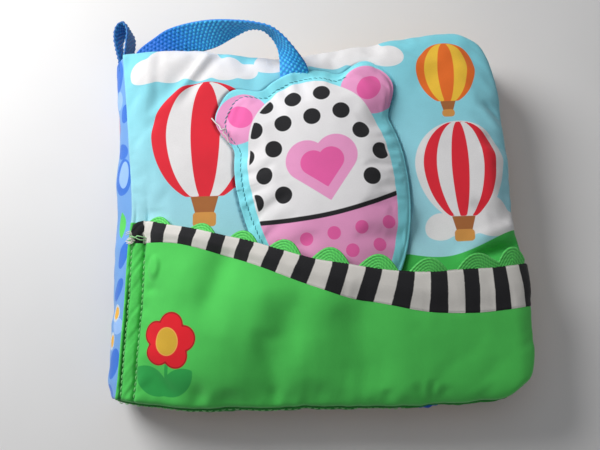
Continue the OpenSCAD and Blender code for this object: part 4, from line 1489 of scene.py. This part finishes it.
def build_pad(name, panel, wide, high, zmid, up_half, down_half, flange, body, colours, prints, nu, nv, seed, node, floor=None, shift=0.0, crown=0.6):
    u, v = uv_grid(nu, nv)

    def rise(u, v, half, crown):
        dl, dr, db, dt = u * wide, (1 - u) * wide, v * high, (1 - v) * high
        pad = clamp01((dl - flange) / 11)
        left = np.where(dl < flange, 1.1 * dome(dl, 1.5), 1.1 + (half - 1.1) * dome(dl - flange, 11)) - 0.6 * gauss((dl - flange) / 1.1)
        d3 = smin(smin(dr, db, 4.0), dt, 4.0)
        mid = np.clip(np.minimum(d3, dl - flange), 0, None)
        z = left * dome(d3, 2.0 + 6.5 * pad) + crown * (1 - np.exp(-mid / 30))
        g = 0.0
        for d, s, k in ((dr, v * high, 1), (db, u * wide, 2), (dt, u * wide, 3)):
            g = g + 0.5 * noise(s / 5.0, d / 22.0 + 3.3 * k, seed + k) * np.exp(-d / 6.0) * dome(d, 2.0)
        return z + g * pad

    xy = panel.xy(u, v)
    lean = shift * (1 - clamp01(u * wide / (flange + 1))) ** 1.2
    top = np.concatenate([xy, (zmid + lean + rise(u, v, up_half, crown))[..., None]], 2)
    low = np.concatenate([xy, (zmid + lean - rise(u, v, down_half, 0.0))[..., None]], 2)
    cu, cv = 56, 52
    a, b = uv_grid(cu, cv)
    p = panel.xy(a, b)
    pin = np.where((np.minimum.reduce([a * wide - flange, (1 - a) * wide, b * high, (1 - b) * high]) < 1.0), 1.0, 0.0)
    for grid, sign, half in ((top, 1, up_half), (low, -1, down_half)):
        if sign < 0 and floor is not None:
            continue
        start = np.concatenate([p, (sign * rise(a, b, half, crown if sign > 0 else 0) + 0.2 * fbm(p[..., 0] / 18, p[..., 1] / 18, seed + 50) * sign)[..., None]], 2)
        if sign < 0:
            start[..., 2] *= -1
        move = relax(start, pin, frames=14, grow=0.016, pressure=0.25, bend=0.4, cap=1.6)
        move[..., 2] *= sign
        grid += refine(move, nu, nv)
    top[..., 2] = smin(top[..., 2], zmid + up_half + 0.1, 0.4)
    low[..., 2] = -smin(-low[..., 2], down_half + 0.1 - zmid, 0.4)
    if floor is not None:
        low[..., 2] = np.maximum(low[..., 2], floor)
    edge = np.zeros((nu, nv), bool)
    edge[[0, -1]] = True
    edge[:, [0, -1]] = True
    low[edge] = top[edge]
    o = shell(name, top, low, xy, weld=True)
    x, y = flat_of(o)
    n = nu * nv
    face = [paint_side(o, prints[k], x, y, k) for k in (0, 1)]
    dress(o, *(cloth_material(f"{name}_cloth{k}", colours[k], face[k], tint=0.05) for k in (0, 1)))
    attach(o, body)
    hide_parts(node)
    return o, top, low


BACK = box_panel(-98.2, 95.2, -87.6, 87.6, 12, 1.6, 21)
build_pad("back_cover", BACK, 193, 175, 4.25, 4.2, 4.25, 10.6, "back", (lin((250, 206, 92)), SKY), ("dots", "meadow"), 118, 108, 120, "back_cover", floor=0.0, crown=0.0)
LEAF_1 = box_panel(-94.5, 92.6, -85.2, 85.2, 11, 1.5, 33)
LEAF_2 = box_panel(-94.5, 92.2, -85.0, 85.0, 11, 1.8, 44)
build_pad("leaf_lower", LEAF_1, 187, 170, 12.2, 3.2, 3.2, 8.5, "block", (lin((120, 200, 240)), lin((244, 150, 70))), ("waves", "stars"), 102, 94, 140, "pages", shift=2.6, crown=0.0)
build_pad("leaf_upper", LEAF_2, 187, 170, 19.0, 3.2, 3.2, 8.5, "block", (lin((168, 226, 240)), lin((240, 120, 170))), ("meadow", "dots"), 102, 94, 160, "pages", shift=-2.6, crown=0.0)


# ------------------------------------------------------------------ stitching on the flange
def flange_rows():
    parts_green = []
    for row in (ROW_1, ROW_2):
        u = row / W
        t = np.linspace(0.012, 0.90 if row == ROW_1 else 0.82, 400)
        path = on_pocket(np.full_like(t, u), t)
        up = pocket_normal(np.full_like(t, u), t)
        parts_green.append(stitches(path, up, 2.9, 2.0, 0.34, seed=int(row), wander=0.7, lean=0.12))
    v, f = join(parts_green)
    o = make("flange_stitches", v, f)
    relief(o, np.full(len(v), 0.7))
    dress(o, yarn_material("flange_thread", lin((70, 150, 76)), lin((150, 236, 150))))
    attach(o, "front")


flange_rows()


# ------------------------------------------------------------------ loose ends
def build_ends():
    # threads that hold the end of the binding
    parts = []
    for k in range(4):
        h = [float(noise(k * 2.7 + 0.5, m + 0.5, 80 + m)) for m in range(5)]
        a = np.array([-91.2 + 0.5 * h[0], -9.9 + 0.4 * k])
        b = np.array([-84.7 + 0.8 * h[1], -11.0 + 0.45 * k + 0.5 * h[2]])
        f = np.linspace(0, 1, 18)
        px, py = a[0] + (b[0] - a[0]) * f, a[1] + (b[1] - a[1]) * f + 0.6 * h[3] * np.sin(PI * f) + 0.25 * np.sin(9 * f + 4 * h[4])
        uu, tt = place_on_pocket(px, py)
        lift = np.where(px > -90.4, 1.9, 1.0) + 0.5 * np.sin(PI * f) + 0.2 * h[2] + 0.2 * (k % 2)
        parts.append(tube(on_pocket(uu, tt, lift), 0.24, 8))
    v, f = join(parts)
    o = make("binding_bartack", v, f)
    relief(o, np.full(len(v), 0.6))
    dress(o, yarn_material("bartack_thread", lin((70, 150, 78)), lin((178, 236, 172))))
    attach(o, "front")
    parts = []
    for k in range(30):
        h = [float(noise(k * 2.3 + 0.5, m + 0.5, 90 + m)) for m in range(5)]
        s = np.linspace(0, 1, 12)
        px = -89.9 + 0.3 * h[0] - (2.5 + 1.0 * h[1]) * s - 0.3 * np.sin(4 * s + h[2])
        py = -12.6 + 0.19 * k + 1.1 * h[3] * s + 0.5 * np.sin(5 * s + 3 * h[4])
        uu, tt = place_on_pocket(px, py)
        parts.append(tube(on_pocket(uu, tt, 1.1 + 0.5 * h[2] + 0.8 * np.sin(PI * s * 0.8)), 0.3 * (1 - 0.45 * s), 6))
    v, f = join(parts)
    o = make("binding_fray", v, f)
    relief(o, np.full(len(v), 0.7))
    dress(o, yarn_material("fray_thread", lin((190, 186, 176)), lin((244, 242, 236))))
    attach(o, "front")
    # a loose thread on the toy's hem
    pts = [(-42.0, 34.5, 40.6), (-42.8, 37.2, 41.2), (-44.6, 39.2, 41.6), (-43.2, 41.2, 42.2), (-45.4, 40.6, 42.4), (-46.4, 42.6, 41.6), (-48.4, 44.6, 41.2), (-50.4, 47.2, 40.6)]
    v, f = tube(spline(pts, 60), 0.34, 8)
    o = make("toy_loose_thread", v, f)
    relief(o, np.full(len(v), 0.7))
    dress(o, yarn_material("loose_thread", lin((200, 198, 190)), lin((246, 246, 242))))
    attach(o, "front")


build_ends()


def build_bottom_seam():
    """The sewn lower edge of the front: a narrow dark welt with small stitches over it."""
    u = np.linspace(0.004, 0.955, 560)
    p = on_pocket(u, np.zeros_like(u))
    t = np.gradient(p, axis=0)
    t /= np.linalg.norm(t, axis=1, keepdims=True)
    out = np.cross(t, [0, 0, 1.0])
    x = u * W
    wave = 0.45 * noise(x / 5.5, 1.0, 201) + 0.3 * noise(x / 2.4, 2.0, 202)
    full = 0.75 + 0.6 * np.exp(-(((p[:, 0] + 18) / 46) ** 4)) + 0.25 * noise(x / 9.0, 4.0, 203)
    full = 0.1 + full * ease(x / 6.0) * ease((x[-1] - x) / 14.0)
    path = p + out * (0.1 + 0.5 * wave)[:, None] + np.array([0, 0, -1.0]) * (1.3 + 0.3 * wave)[:, None]
    v, f = tube(path, full, 10)
    o = make("front_lower_welt", v, f)
    dress(o, cloth_material("welt_green", lin((48, 146, 62)), tint=0.14))
    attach(o, "front")
    # a little of the lining shows where the seam is puckered
    k = (p[:, 0] > 43.5) & (p[:, 0] < 54.5)
    g = np.linspace(0, PI, k.sum())
    v, f = tube(p[k] + out[k] * (0.1 + 0.4 * np.sin(g) + 0.25 * np.sin(5 * g))[:, None] - np.array([0, 0, 1.0]) * (1.7 + 0.2 * np.sin(3 * g))[:, None], 0.2 + 0.8 * np.sin(g) ** 0.8, 10)
    o = make("front_lining_edge", v, f)
    dress(o, cloth_material("lining_blue", lin((40, 96, 196)), tint=0.1))
    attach(o, "front")
    a = p + out * 0.9 + np.array([0, 0, 0.25])
    k = p[:, 0] < 40
    v, f = stitches(a[k], (out * 0.8 + np.array([0, 0, 0.6]))[k], 3.1, 1.7, 0.22, seed=77, wander=1.2)
    o = make("front_lower_stitches", v, f)
    relief(o, np.full(len(v), 0.7))
    dress(o, yarn_material("lower_thread", lin((70, 150, 76)), lin((170, 236, 168))))
    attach(o, "front")


build_bottom_seam()

bpy.context.view_layer.update()
